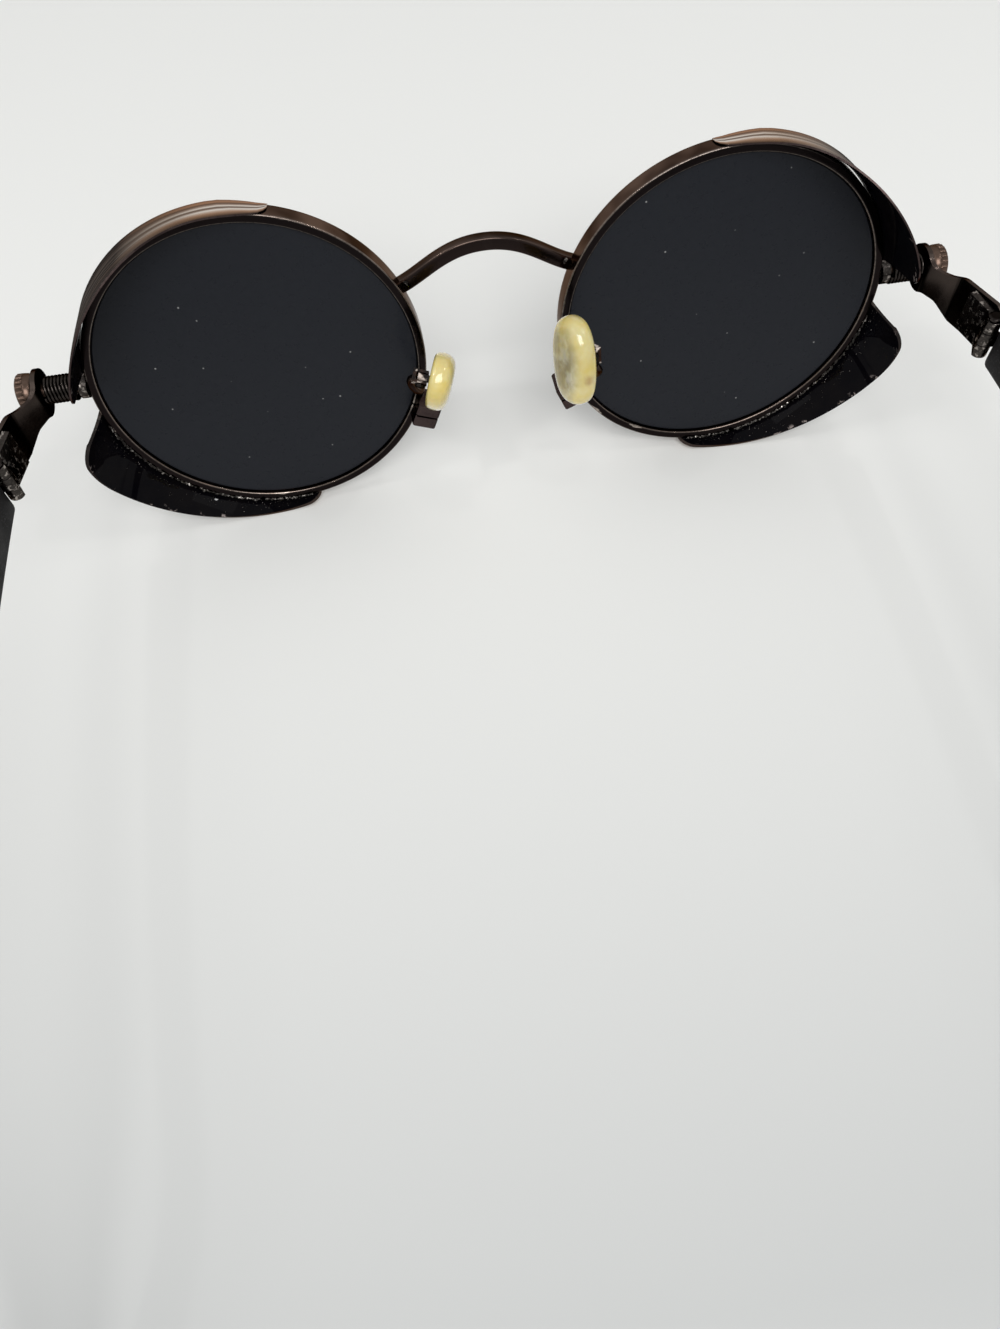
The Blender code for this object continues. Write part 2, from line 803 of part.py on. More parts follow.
def build_hinge_screw(side, word, fold, finish):
    """A slotted screw dropped through the knuckles from above."""
    half = hinge_half_height()
    top = half + seat
    stations = (
        (-half, hinge_screw_radius),
        (top, hinge_screw_radius),
        (top, hinge_head_radius),
        (top + hinge_head_height * hinge_head_side_share, hinge_head_radius),
        (top + hinge_head_height, hinge_head_radius * hinge_head_top_share),
    )
    shape = turned(stations, small_round, X, Z)
    return add_piece(f"hinge_screw_{word}", shape, finish, fold, side)


def sleeve_centre_x():
    """The middle of the temple in plan, beside the hinge axis."""
    return sleeve_side_shift + sleeve_thickness / 2


def temple_point(distance, drop_angle):
    """The temple's centre line about the hinge axis, and its downward angle there."""
    arc = temple_bend_radius * drop_angle
    on_straight = min(distance, temple_straight)
    on_arc = min(max(distance - temple_straight, 0), arc) / temple_bend_radius
    on_tail = max(distance - temple_straight - arc, 0)
    back = on_straight + temple_bend_radius * sin(on_arc) + on_tail * cos(drop_angle)
    down = temple_bend_radius * (1 - cos(on_arc)) + on_tail * sin(drop_angle)
    out = distance * sin(temple_splay) - distance ** 2 / (2 * temple_bow_radius)
    return Vector((sleeve_centre_x() + out, back, -down))


def temple_length(drop_angle):
    """The length of the temple's centre line behind the hinge axis."""
    return temple_straight + temple_bend_radius * drop_angle + temple_tail


def temple_distances(start, end):
    """Where the temple's sections lie: sparse on the straight, close round the bend."""
    straight_steps = round(temple_steps * (1 - temple_bend_steps_share))
    bend_steps = temple_steps - straight_steps
    first = [start + (temple_straight - start) * step / straight_steps
             for step in range(straight_steps)]
    rest = [temple_straight + (end - temple_straight) * step / bend_steps
            for step in range(bend_steps + 1)]
    return first + rest


def sleeve_height_at(distance, total):
    """The sleeve narrows evenly to its waist at the bend, then swells into the tail."""
    if distance < temple_straight:
        share = max(distance - sleeve_front_gap, 0) / (temple_straight - sleeve_front_gap)
        return sleeve_height + (sleeve_waist_height - sleeve_height) * share
    share = (distance - temple_straight) / (total - temple_straight)
    swell = sin(pi / 2 * min(share * sleeve_swell_share, 1))
    return sleeve_waist_height + (sleeve_tail_height - sleeve_waist_height) * swell


def sleeve_sections(drop_angle):
    """Path points and outlines of the sleeve, with a rounded nose and a rounded tail."""
    total = temple_length(drop_angle)
    start = sleeve_front_gap
    body_start = start + sleeve_edge_round
    body_end = total - sleeve_tail_height / 2
    distances = [start] + temple_distances(body_start, body_end)
    heights = [sleeve_height_at(d, total) for d in distances]
    widths = [sleeve_thickness] * len(distances)
    heights[0] -= 2 * sleeve_edge_round
    widths[0] -= sleeve_edge_round
    for end_share in sleeve_end_shares:
        angle = pi / 2 * end_share
        distances.append(body_end + sleeve_tail_height / 2 * sin(angle))
        heights.append(sleeve_tail_height * cos(angle))
        widths.append(sleeve_thickness * (1 - (1 - cos(angle)) / 2))
    path = [temple_point(d, drop_angle) for d in distances]
    outlines = []
    for width, height in zip(widths, heights):
        corner = min(sleeve_edge_round, height / 3, width / 3)
        outlines.append(rounded_box(width, height, corner))
    return path, outlines


def sleeve_shape(drop_angle):
    """The plastic sleeve as one solid, before the core's slot is cut."""
    path, outlines = sleeve_sections(drop_angle)
    return sweep(path, outlines, X)


def find_drop_angle(hinge_above_table):
    """The ear bend that brings the sleeve's tail down to the table."""
    low, high = least_temple_drop, most_temple_drop
    for _ in range(40):
        middle = (low + high) / 2
        shape = sleeve_shape(middle)
        lowest = min(corner.co.z for corner in shape.verts)
        shape.free()
        if lowest > -hinge_above_table:
            low = middle
        else:
            high = middle
    return low


def build_sleeve(side, word, fold, finish, drop_angle):
    """A plastic temple, slotted down its middle for the metal core."""
    sleeve = add_piece(f"temple_sleeve_{word}", sleeve_shape(drop_angle), finish, fold, side)
    play = 2 * core_play
    path, outlines = core_sections(drop_angle, play, core_play)
    path[0] = path[0] - Y * overrun
    cut_away(sleeve, f"sleeve_slot_{word}", sweep(path, outlines, X), side=side)
    return sleeve


def core_sections(drop_angle, extra=0.0, end_play=0.0):
    """The core's path and outlines; extra widens them for the slot that holds it."""
    total = temple_length(drop_angle)
    start = core_front_gap
    end = total - core_tail_gap + end_play
    distances = temple_distances(start, end)
    path = [temple_point(d, drop_angle) for d in distances]
    outlines = []
    for distance in distances:
        share = (distance - start) / (end - start)
        height = core_height + (core_tail_height - core_height) * share
        half_width = (core_thickness + extra) / 2
        half_height = (height + extra) / 2
        outlines.append([
            (half_width, -half_height), (half_width, half_height),
            (-half_width, half_height), (-half_width, -half_height),
        ])
    return path, outlines


def build_core(side, word, fold, finish, drop_angle):
    """The metal core: a tapering strip whose front carries the middle knuckle."""
    path, outlines = core_sections(drop_angle)
    core = add_piece(f"temple_core_{word}", sweep(path, outlines, X), finish, fold, side)
    web_back = sleeve_front_gap - seat
    strip_middle = sleeve_centre_x()
    outline = knuckle_arc(pi / 2, 2 * pi, large_round // 2)
    outline += [(strip_middle, core_front_gap + seat), (strip_middle, web_back)]
    half = knuckle_height / 2
    web = prism(outline, -half, half, upright)
    cut_away(core, f"core_knuckle_{word}", web, "UNION", side)
    hinge_bore(word, "core", core, side)
    return core


def pad_outline(length, width, count=large_round):
    """An oblong with full round ends, as (across, along) points."""
    points = []
    for step in range(count):
        angle = 2 * pi * step / count
        across = abs(cos(angle)) ** pad_side_power_share * (1 if cos(angle) >= 0 else -1)
        along = abs(sin(angle)) ** pad_end_power_share * (1 if sin(angle) >= 0 else -1)
        points.append((width / 2 * across, length / 2 * along))
    return points


def build_nose_pad(side, word, pivot, finish):
    """A soft crowned pad with a shallow recess in its back for the metal insert."""
    back = -pad_pivot_reach + pad_back
    face = -pad_pivot_reach - pad_face_crown
    depth = back - face
    rings = []
    for depth_share, size_share in pad_crown_shares:
        x = back - depth * depth_share
        length_share = 1 - (1 - size_share) * pad_length_follow_share
        outline = pad_outline(pad_length * length_share, pad_width * size_share)
        rings.append([Vector((x, across, along)) for across, along in outline])
    pad = add_piece(f"nose_pad_{word}", loft(rings), finish, pivot, side)
    floor_x = back - insert_thickness - insert_play
    half = Vector((0, insert_width / 2 + insert_play, insert_length / 2 + insert_play))
    recess = box_between(Vector((floor_x, 0, 0)) - half, Vector((back + overrun, 0, 0)) + half)
    cut_away(pad, f"pad_recess_{word}", recess, side=side)
    return pad


def build_pad_insert(side, word, pivot, finish):
    """The metal plate in the pad's back, with the tab that the pad screw passes through."""
    back = -pad_pivot_reach + pad_back
    half = Vector((0, insert_width / 2, insert_length / 2))
    plate = box_between(Vector((back - insert_thickness, 0, 0)) - half, Vector((back, 0, 0)) + half)
    insert = add_piece(f"pad_insert_{word}", plate, finish, pivot, side)
    tab_half = Vector((0, tab_thickness / 2, tab_half_height))
    tab_start = back - insert_thickness / 2
    tab = box_between(Vector((tab_start, 0, 0)) - tab_half, Vector((tab_end, 0, 0)) + tab_half)
    cut_away(insert, f"insert_tab_{word}", tab, "UNION", side)
    radius = pad_screw_radius + pad_screw_play
    reach = tab_thickness / 2 + overrun
    bore = turned(((-reach, radius), (reach, radius)), small_round, X, Y)
    cut_away(insert, f"insert_bore_{word}", bore, side=side)
    return insert


def box_half_width():
    """Half the pad box across its two cheeks."""
    return tab_thickness / 2 + tab_play + box_wall


def build_pad_box(side, word, pivot, finish):
    """A U-shaped box that takes the tab between two cheeks."""
    half_width = box_half_width()
    back_x = box_floor + box_back_wall
    shape = box_between((-box_mouth, -half_width, -box_half_height),
                        (back_x, half_width, box_half_height))
    box = add_piece(f"pad_box_{word}", shape, finish, pivot, side)
    slot_half = tab_thickness / 2 + tab_play
    slot = box_between((-box_mouth - overrun, -slot_half, -box_half_height - overrun),
                       (box_floor, slot_half, box_half_height + overrun))
    cut_away(box, f"box_slot_{word}", slot, side=side)
    radius = pad_screw_radius + pad_screw_play
    reach = half_width + overrun
    bore = turned(((-reach, radius), (reach, radius)), small_round, X, Y)
    cut_away(box, f"box_bore_{word}", bore, side=side)
    return box


def build_pad_screw(side, word, pivot, finish):
    """A tiny screw through the box and the tab; the pad rocks about it."""
    half = box_half_width()
    under_head = half + seat
    stations = (
        (-half, pad_screw_radius),
        (under_head, pad_screw_radius),
        (under_head, pad_screw_head_radius),
        (under_head + pad_screw_head_height, pad_screw_head_radius * pad_screw_head_top_share),
    )
    shape = turned(stations, small_round, X, Y)
    return add_piece(f"pad_screw_{word}", shape, finish, pivot, side)


def build_pad_arm(side, word, front, finish, pad_frame):
    """A bent wire from the back of the rim to the back of the pad box."""
    half_spacing = Vector((lens_spacing / 2, 0, 0))
    root_radius = rim_inner_radius + rim_wall / 2
    root = half_spacing + eye_point(arm_root_angle, root_radius, rim_depth / 2 + seat)
    turn = pad_frame.to_3x3()
    leaving = turn @ (X * sin(arm_box_bend) - Z * cos(arm_box_bend))
    end_x = box_floor + box_back_wall - arm_wire_radius
    below = box_half_height + seat + arm_wire_radius * sin(arm_box_bend)
    end = pad_frame @ (X * end_x - Z * below)
    handle_a = root + Y * arm_root_handle
    handle_b = end + leaving * arm_box_handle
    path = bezier(root, handle_a, handle_b, end, arm_steps)
    outline = circle(arm_wire_radius, tube_round, lambda a, b: (a, b))
    shape = sweep(path, [outline] * len(path), X)
    return add_piece(f"pad_arm_{word}", shape, finish, front, side)


def lock_frame():
    """Axes at the slit: outwards from the rim, along it, and back."""
    outward = Vector((cos(lock_angle), 0, sin(lock_angle)))
    along = Vector((sin(lock_angle), 0, -cos(lock_angle)))
    return outward, along


def lock_block(direction):
    """Half of the closing block, on one side of the slit."""
    outward, along = lock_frame()
    base = rim_outer_radius + seat
    top = base + lock_block_height
    inner = rim_inner_radius + lock_block_inset
    step_back = rim_depth / 2 + seat
    cut = lock_block_bevel
    outline = [
        (base, -lock_block_front), (top - cut, -lock_block_front), (top, cut - lock_block_front),
        (top, lock_block_behind - cut), (top - cut, lock_block_behind),
        (inner + cut, lock_block_behind), (inner, lock_block_behind - cut),
        (inner, step_back), (base, step_back),
    ]
    low = lock_slit / 2 * direction
    high = (lock_slit / 2 + lock_block_length) * direction
    return prism(outline, low, high,
                 lambda a, b, level: outward * a + Y * b + along * level)


def lock_screw_stations(radius, reach_low, reach_high):
    """A plain pin along the closing blocks."""
    return ((reach_low, radius), (reach_high, radius))


def build_lock(side, word, eye, finish, screw_finish):
    """Two blocks brazed to the rim's ends and the screw that draws them together."""
    outward, along = lock_frame()
    middle_behind = (lock_block_behind - lock_block_front) / 2
    centre = outward * (rim_outer_radius + seat + lock_block_height / 2) + Y * middle_behind
    reach = lock_slit / 2 + lock_block_length
    bore_radius = lock_screw_radius + lock_screw_play
    for direction, place in ((1, "upper"), (-1, "lower")):
        name = f"rim_lock_{place}_{word}"
        block = add_piece(name, lock_block(direction), finish, eye, side)
        span = lock_screw_stations(bore_radius, -reach - overrun, reach + overrun)
        bore = turned(span, small_round, Y, along, centre)
        cut_away(block, f"{name}_bore", bore, side=side)
    top = reach + seat
    stations = (
        (-reach, lock_screw_radius),
        (top, lock_screw_radius),
        (top, lock_head_radius),
        (top + lock_head_height, lock_head_radius * lock_head_top_share),
    )
    shape = turned(stations, small_round, Y, along, centre)
    add_piece(f"rim_lock_screw_{word}", shape, screw_finish, eye, side)


def pad_frame_matrix(side):
    """The pad's own axes in the front, drawn for the wearer's left: out, back and up."""
    turn = Matrix.Rotation(pad_lean[side], 4, "X") @ Matrix.Rotation(-pad_splay, 4, "Z")
    pivot = Vector(pad_centre[side]) + (turn @ X) * pad_pivot_reach
    return Matrix.Translation(pivot) @ turn


def mirrored(matrix, side):
    """The same axes on the other side of the face."""
    if side > 0:
        return matrix
    flip = Matrix.Scale(-1, 4, X)
    return flip @ matrix @ flip


def lowest_of_front(shape):
    """How far a shape in an eye's frame reaches below the lens centre once the front leans."""
    lean = Matrix.Rotation(front_lean, 3, "X")
    return -min((lean @ corner.co).z for corner in shape.verts)


def front_most(pieces):
    """The least Y that any piece reaches, before the part is centred."""
    bpy.context.view_layer.update()
    return [(piece.matrix_world @ Vector(corner)).y for piece in pieces for corner in piece.bound_box]


def main():
    """Build every piece and stand the glasses on the table, centred over the origin."""
    clear_objects()
    gunmetal = make_material("brown_gunmetal", (0.075, 0.052, 0.042), 0.22, 1.0)
    shield_black = make_material("shield_black", (0.012, 0.011, 0.012), 0.12, 0.6)
    lens_grey = make_material("lens_grey", (0.018, 0.020, 0.024), 0.30, 0.0)
    steel = make_material("dark_steel", (0.12, 0.11, 0.10), 0.30, 1.0)
    sleeve_black = make_material("sleeve_black", (0.020, 0.020, 0.022), 0.65, 0.0)
    silicone = make_material("pad_silicone", (0.86, 0.80, 0.52), 0.35, 0.0)

    lowest_shape = bottom_shield()
    lens_above_table = lowest_of_front(lowest_shape)
    lowest_shape.free()

    stand = make_frame("stand", None)
    front = make_frame("front", stand, (0, 0, lens_above_table),
                       Matrix.Rotation(front_lean, 3, "X"))
    lean = Matrix.Rotation(front_lean, 3, "X")
    plate_inner_x = lens_spacing / 2 + plate_inner_from_lens()
    rod_in_front = Vector((plate_inner_x, rod_behind, rod_height))
    hinge_above_table = lens_above_table + (lean @ rod_in_front).z - hinge_below_rod
    drop_angle = find_drop_angle(hinge_above_table)

    build_bridge(front, gunmetal)
    for side, word in LEFT_AND_RIGHT:
        eye = make_frame(f"eye_{word}", front, (side * lens_spacing / 2, 0, 0))
        build_rim(side, word, eye, gunmetal)
        build_lens(side, word, eye, lens_grey)
        add_piece(f"top_shield_{word}", top_shield(side), shield_black, eye, side)
        add_piece(f"bottom_shield_{word}", bottom_shield(), shield_black, eye, side)
        build_end_lug(side, word, eye, gunmetal)
        build_spring(side, word, eye, steel)
        build_thumb_screw(side, word, eye, gunmetal)
        build_lock(side, word, eye, gunmetal, steel)

        frame = pad_frame_matrix(side)
        placed = mirrored(frame, side)
        pivot = make_frame(f"pad_pivot_{word}", front, placed.to_translation(), placed.to_3x3())
        build_nose_pad(side, word, pivot, silicone)
        build_pad_insert(side, word, pivot, steel)
        build_pad_box(side, word, pivot, gunmetal)
        build_pad_screw(side, word, pivot, steel)
        build_pad_arm(side, word, front, gunmetal, frame)

        rod_point = (side * rod_in_front.x, rod_in_front.y, rod_in_front.z)
        level = make_frame(f"rod_level_{word}", front, rod_point, Matrix.Rotation(-front_lean, 3, "X"))
        build_plate(side, word, level, gunmetal)
        pivot_point = hinge_pivot()
        fold = make_frame(f"fold_axis_{word}", level, (side * pivot_point.x, pivot_point.y, pivot_point.z))
        build_front_leaf(side, word, fold, gunmetal)
        build_hinge_screw(side, word, fold, steel)
        build_core(side, word, fold, gunmetal, drop_angle)
        build_sleeve(side, word, fold, sleeve_black, drop_angle)

    solids = [piece for piece in bpy.data.objects if piece.type != "EMPTY" and not piece.hide_render]
    reach = front_most(solids)
    stand.location.y = -(min(reach) + max(reach)) / 2
    bpy.context.view_layer.update()
    print(f"lens centre {lens_above_table * 1000:.2f} mm above the table")
    print(f"temple drop {drop_angle / pi * 180:.2f} degrees")


main()
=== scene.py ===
# %% [markdown]
# # Round sunglasses with side shields and sprung thumb screws
#
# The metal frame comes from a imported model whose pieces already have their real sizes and
# places. This lesson dresses it. Most pieces get a finer shape that stands in for the plain
# solid, and every surface gets a finish made of shader nodes. The glasses stand on a pale
# table with their temples open, seen from behind and above.

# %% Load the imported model
import json
import random
from math import cos, hypot, pi, radians, sin, sqrt

import bmesh
import bpy
from mathutils import Matrix, Vector, noise


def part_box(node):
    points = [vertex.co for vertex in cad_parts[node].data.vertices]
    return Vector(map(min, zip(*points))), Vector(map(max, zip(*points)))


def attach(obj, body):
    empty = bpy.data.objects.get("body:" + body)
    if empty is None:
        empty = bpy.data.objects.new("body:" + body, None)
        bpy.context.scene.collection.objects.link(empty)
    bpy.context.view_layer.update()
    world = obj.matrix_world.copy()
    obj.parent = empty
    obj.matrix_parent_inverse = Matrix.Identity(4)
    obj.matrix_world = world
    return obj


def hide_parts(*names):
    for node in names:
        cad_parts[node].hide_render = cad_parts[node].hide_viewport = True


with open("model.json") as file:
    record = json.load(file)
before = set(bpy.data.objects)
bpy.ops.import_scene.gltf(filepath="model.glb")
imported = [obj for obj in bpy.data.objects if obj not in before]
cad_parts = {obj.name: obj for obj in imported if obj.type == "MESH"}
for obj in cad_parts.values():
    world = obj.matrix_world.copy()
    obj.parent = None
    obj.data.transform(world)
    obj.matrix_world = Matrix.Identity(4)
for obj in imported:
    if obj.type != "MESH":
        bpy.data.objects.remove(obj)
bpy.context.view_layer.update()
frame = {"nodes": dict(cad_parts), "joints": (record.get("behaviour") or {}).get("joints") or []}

# %% [markdown]
# The front of the glasses leans forward over its bottom edge, while the temples lie level. So
# each piece is drawn in the axes that suit it, and a matrix puts it in its place. The middle of
# a lens is the middle of its solid's box, which gives the axes of both eyes without a number.
# A left piece is drawn first. The right one is the same drawing, mirrored.

# %% The axes of the front, the eyes and the hinges
X = Vector((1, 0, 0))
Y = Vector((0, 1, 0))
SIDES = ((1, "left"), (-1, "right"))
lean = Matrix.Rotation(radians(8.0), 4, "X")


def middle_of(node):
    """The middle of a solid's box."""
    low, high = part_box(node)
    return (low + high) / 2


eye = {word: Matrix.Translation(middle_of(f"lens_{word}")) @ lean for side, word in SIDES}
half_spacing = (middle_of("lens_left").x - middle_of("lens_right").x) / 2
front = Matrix.Translation((middle_of("lens_left") + middle_of("lens_right")) / 2) @ lean
joint_at = {joint["name"]: Vector(joint["pos_m"]) for joint in frame["joints"]}
hinge = {word: Matrix.Translation(joint_at[f"temple_fold_{word}"]) for side, word in SIDES}
print("lenses are", round(half_spacing * 2000, 1), "mm apart")

# %% [markdown]
# A shader network is easier to read as a sum than as a list of links. This small class wraps
# the output of a node, and the usual operators on it add Math nodes. One method adds any other
# node, with its settings first and then its sockets.

# %% Shader maths as Python expressions


class Wire:
    """The output of a node; + - * and ** on it add Math nodes."""

    def __init__(self, network, socket):
        self.network = network
        self.socket = socket

    def maths(self, operation, first, second):
        return self.network.node("Math", {"operation": operation}, {0: first, 1: second})

    def __add__(self, other):
        return self.maths("ADD", self, other)

    def __sub__(self, other):
        return self.maths("SUBTRACT", self, other)

    def __rsub__(self, other):
        return self.maths("SUBTRACT", other, self)

    def __mul__(self, other):
        return self.maths("MULTIPLY", self, other)

    def __pow__(self, other):
        return self.maths("POWER", self, other)

    def __rpow__(self, other):
        return self.maths("POWER", other, self)

    __radd__ = __add__
    __rmul__ = __mul__


class Network:
    """The nodes of a material or of the room."""

    def __init__(self, tree):
        self.tree = tree

    def plug(self, socket, value):
        """Link a wire to a socket, or set its number or colour."""
        if isinstance(value, Wire):
            self.tree.links.new(value.socket, socket)
        elif socket.type == "RGBA" and len(value) == 3:
            socket.default_value = (*value, 1.0)
        else:
            socket.default_value = value

    def node(self, kind, settings=None, sockets=None, output=0):
        """Add any node, set its settings and then its sockets, and wrap one output."""
        made = self.tree.nodes.new("ShaderNode" + kind)
        for key, value in (settings or {}).items():
            if key == "stops":
                made.color_ramp.elements[0].position = value[0][0]
                made.color_ramp.elements[-1].position = value[-1][0]
                for position, colour in value[1:-1]:
                    made.color_ramp.elements.new(position)
                for element, (position, colour) in zip(made.color_ramp.elements, value):
                    element.color = (*colour, 1.0)
            else:
                setattr(made, key, value)
        for key, value in (sockets or {}).items():
            self.plug(made.inputs[key], value)
        return Wire(self, made.outputs[output])


# %% [markdown]
# A finish is a material with one Principled shader. The finishes below all ask for the same
# few things: noise on the piece itself, a range of it, a blend of two colours, the edges that
# stick out, the way that a face looks, or a number that is painted on the mesh. Each gets a
# short name.
# Object coordinates carry the noise, because a piece keeps them when it moves.

# %% One class for the finishes


class Finish(Network):
    """One material with a Principled shader."""

    def __init__(self, name, **constants):
        self.material = bpy.data.materials.new(name)
        self.material.use_nodes = True
        super().__init__(self.material.node_tree)
        self.shader = self.tree.nodes["Principled BSDF"]
        self.set(**constants)
        print("finish", name)

    def set(self, **sockets):
        """Give sockets of the shader a value or a wire; Base_Color stands for Base Color."""
        for key, value in sockets.items():
            self.plug(self.shader.inputs[key.replace("_", " ")], value)

    def object_place(self):
        """Object coordinates, which a piece keeps when it moves."""
        return self.node("TexCoord", output="Object")

    def axis(self, vector, letter):
        """One of the three numbers of a vector."""
        return self.node("SeparateXYZ", None, {"Vector": vector}, output=letter)

    def facing(self, letter):
        """How far a face looks along an axis of the piece."""
        return self.axis(self.node("TexCoord", output="Normal"), letter)

    def pointiness(self):
        """Above a half on edges that stick out."""
        return self.node("NewGeometry", output="Pointiness")

    def painted(self, name):
        """A number that is stored on the points of the mesh."""
        return self.node("Attribute", {"attribute_name": name}, output="Fac")

    def speckle(self, scale, detail=2.0, rough=0.5):
        """Noise from 0 to 1 on Object coordinates."""
        sockets = {"Vector": self.object_place(), "Scale": scale, "Detail": detail,
                   "Roughness": rough}
        return self.node("TexNoise", None, sockets)

    def between(self, value, low, high, to_low=0.0, to_high=1.0):
        """Map a range of a value on another, without leaving it."""
        sockets = {"Value": value, "From Min": low, "From Max": high, "To Min": to_low,
                   "To Max": to_high}
        return self.node("MapRange", {"clamp": True}, sockets)

    def blend(self, share, first, second):
        """Mix two colours, which a Mix node keeps in its sockets 6 and 7."""
        return self.node("Mix", {"data_type": "RGBA"}, {0: share, 6: first, 7: second}, output=2)

    def bump(self, height, strength, distance):
        """A Bump node for the Normal socket."""
        return self.node("Bump", None, {"Strength": strength, "Distance": distance,
                                        "Height": height})


# %% [markdown]
# ## Finishes
#
# The frame is plated in a brown gunmetal that looks nearly black until it catches a light. A
# dark metal shader does that, with a tint that keeps it dark at grazing angles too. Slow noise
# drifts its colour from coffee to black, finer noise makes its polish uneven, and the edges
# show paler metal: partly wear, partly painted highlights where a bevel catches the light.
# Pointiness finds the edges by itself, because the bevels make the mesh dense there. The rear
# faces of some pieces and the flanks of others get painted shade, a darker colour chosen by
# the way that they face, and the brazed ones have bare patches where the plating burnt off.

# %% Brown gunmetal for the frame
drift_scale, polish_scale, patch_scale, grain_scale = 150.0, 2600.0, 1300.0, 1500.0
polish_spread = 0.06
grain_height = 0.00004
edge_begins, edge_full = 0.515, 0.56


def gunmetal(name, dark, light, edge, polish, wear_and_highlight, grain, glancing, painted_shade_rear=None, painted_shade_flank=None,
             patchy=0):
    """Plated metal that drifts between two browns, with bare patches, worn edges painted paler as
    highlights, and painted shade where asked.
    """
    finish = Finish(name, Metallic=1.0,
                    Specular_Tint=(glancing, glancing * 0.90, glancing * 0.84, 1.0))
    drift = finish.between(finish.speckle(drift_scale), 0.35, 0.65)
    fine = finish.speckle(polish_scale, 3.0, 0.6)
    colour = finish.blend(drift, dark, light)
    # Painted shade: faces that look backwards get a darker colour.
    if painted_shade_rear:
        colour = finish.blend(finish.between(finish.facing("Y"), 0.55, 0.9), colour, painted_shade_rear)
    # Painted shade: faces that look sideways get a darker colour.
    if painted_shade_flank:
        sideways = finish.facing("X")
        colour = finish.blend(finish.between(sideways * sideways, 0.45, 0.75), colour, painted_shade_flank)
    if patchy:
        bare = finish.between(finish.speckle(patch_scale, 3.0, 0.6), 0.56, 0.66)
        colour = finish.blend(bare * patchy, colour, edge)
    # Paler edges: partly wear, partly painted highlights where a bevel catches the light.
    edge_mottle = finish.between(fine, 0.30, 0.55, 0.35, 1.0)
    worn_and_highlit = finish.between(finish.pointiness(), edge_begins, edge_full) * edge_mottle
    finish.set(
        Base_Color=finish.blend(worn_and_highlit * wear_and_highlight, colour, edge),
        Roughness=finish.between(fine, 0.3, 0.7, polish, polish + polish_spread) + drift * 0.03,
        Normal=finish.bump(finish.speckle(grain_scale, 4.0, 0.55), grain, grain_height),
    )
    return finish.material


# The rear and flank colours below are painted shade; the edge colours are worn metal and painted
# highlights.
frame_metal = gunmetal(
    "brown_gunmetal", dark=(0.050, 0.033, 0.027), light=(0.150, 0.100, 0.078),
    edge=(0.80, 0.70, 0.62), polish=0.12, wear_and_highlight=0.45, grain=0.04, glancing=0.5,
    painted_shade_rear=(0.012, 0.009, 0.009))
bridge_metal = gunmetal(
    "bridge_gunmetal", dark=(0.034, 0.024, 0.020), light=(0.080, 0.056, 0.046),
    edge=(0.50, 0.41, 0.36), polish=0.13, wear_and_highlight=0.05, grain=0.05, glancing=0.45,
    painted_shade_rear=(0.020, 0.014, 0.013))
block_metal = gunmetal(
    "block_gunmetal", dark=(0.026, 0.017, 0.018), light=(0.046, 0.031, 0.031),
    edge=(0.30, 0.24, 0.21), polish=0.15, wear_and_highlight=0.1, grain=0.06, glancing=0.3)
plate_metal = gunmetal(
    "plate_gunmetal", dark=(0.040, 0.030, 0.026), light=(0.080, 0.061, 0.053),
    edge=(0.20, 0.17, 0.15), polish=0.16, wear_and_highlight=0.10, grain=0.04, glancing=0.22,
    painted_shade_flank=(0.007, 0.006, 0.0055))
leaf_metal = gunmetal(
    "worn_gunmetal", dark=(0.006, 0.005, 0.005), light=(0.026, 0.022, 0.020),
    edge=(0.62, 0.56, 0.51), polish=0.17, wear_and_highlight=0.07, grain=0.9, glancing=0.22, patchy=0.55)
lug_metal = gunmetal(
    "brazed_gunmetal", dark=(0.006, 0.005, 0.005), light=(0.024, 0.020, 0.018),
    edge=(0.62, 0.56, 0.51), polish=0.17, wear_and_highlight=0.05, grain=0.9, glancing=0.2, patchy=0.45)
knob_metal = gunmetal(
    "knob_gunmetal", dark=(0.075, 0.048, 0.036), light=(0.125, 0.085, 0.067),
    edge=(0.30, 0.24, 0.20), polish=0.24, wear_and_highlight=0.12, grain=0.06, glancing=0.4)
dark_steel = gunmetal(
    "dark_steel", dark=(0.006, 0.005, 0.005), light=(0.018, 0.015, 0.013),
    edge=(0.25, 0.22, 0.20), polish=0.13, wear_and_highlight=0.12, grain=0.06, glancing=0.2)
solder = gunmetal(
    "solder", dark=(0.003, 0.003, 0.003), light=(0.011, 0.009, 0.008),
    edge=(0.62, 0.58, 0.54), polish=0.12, wear_and_highlight=0.05, grain=0.6, glancing=0.2, patchy=0.35)

# %% [markdown]
# The small boxes that carry the nose pads are lacquered nearly black, and a few spots on their
# edges are painted pale as glints, for the light that those edges catch. A weak coat over a
# dark base gives that gloss. A stronger coat would mirror the lamp and turn them grey. Two masks
# are multiplied for the painted glints: the edges, and a noise that leaves most of them alone.

# %% Black lacquer with painted glints on its edges
lacquer = Finish("box_gloss", Metallic=0.0, Specular_IOR_Level=0.0, Coat_Weight=0.05,
                 Coat_Roughness=0.08)
lumps = lacquer.speckle(1100.0)
brown_black = lacquer.blend(lacquer.between(lumps, 0.4, 0.6), (0.008, 0.005, 0.004),
                            (0.030, 0.015, 0.010))
# Painted glints: pale spots on some edges, standing for the light that they catch.
glint_edges = lacquer.between(lacquer.pointiness(), 0.54, 0.58)
painted_glints = glint_edges * lacquer.between(lacquer.speckle(700.0), 0.55, 0.61)
lacquer.set(
    Base_Color=lacquer.blend(painted_glints, brown_black, (0.72, 0.62, 0.56)),
    Roughness=lacquer.between(lumps, 0.3, 0.7, 0.10, 0.22),
    Normal=lacquer.bump(lumps, 0.8, 0.00012),
)
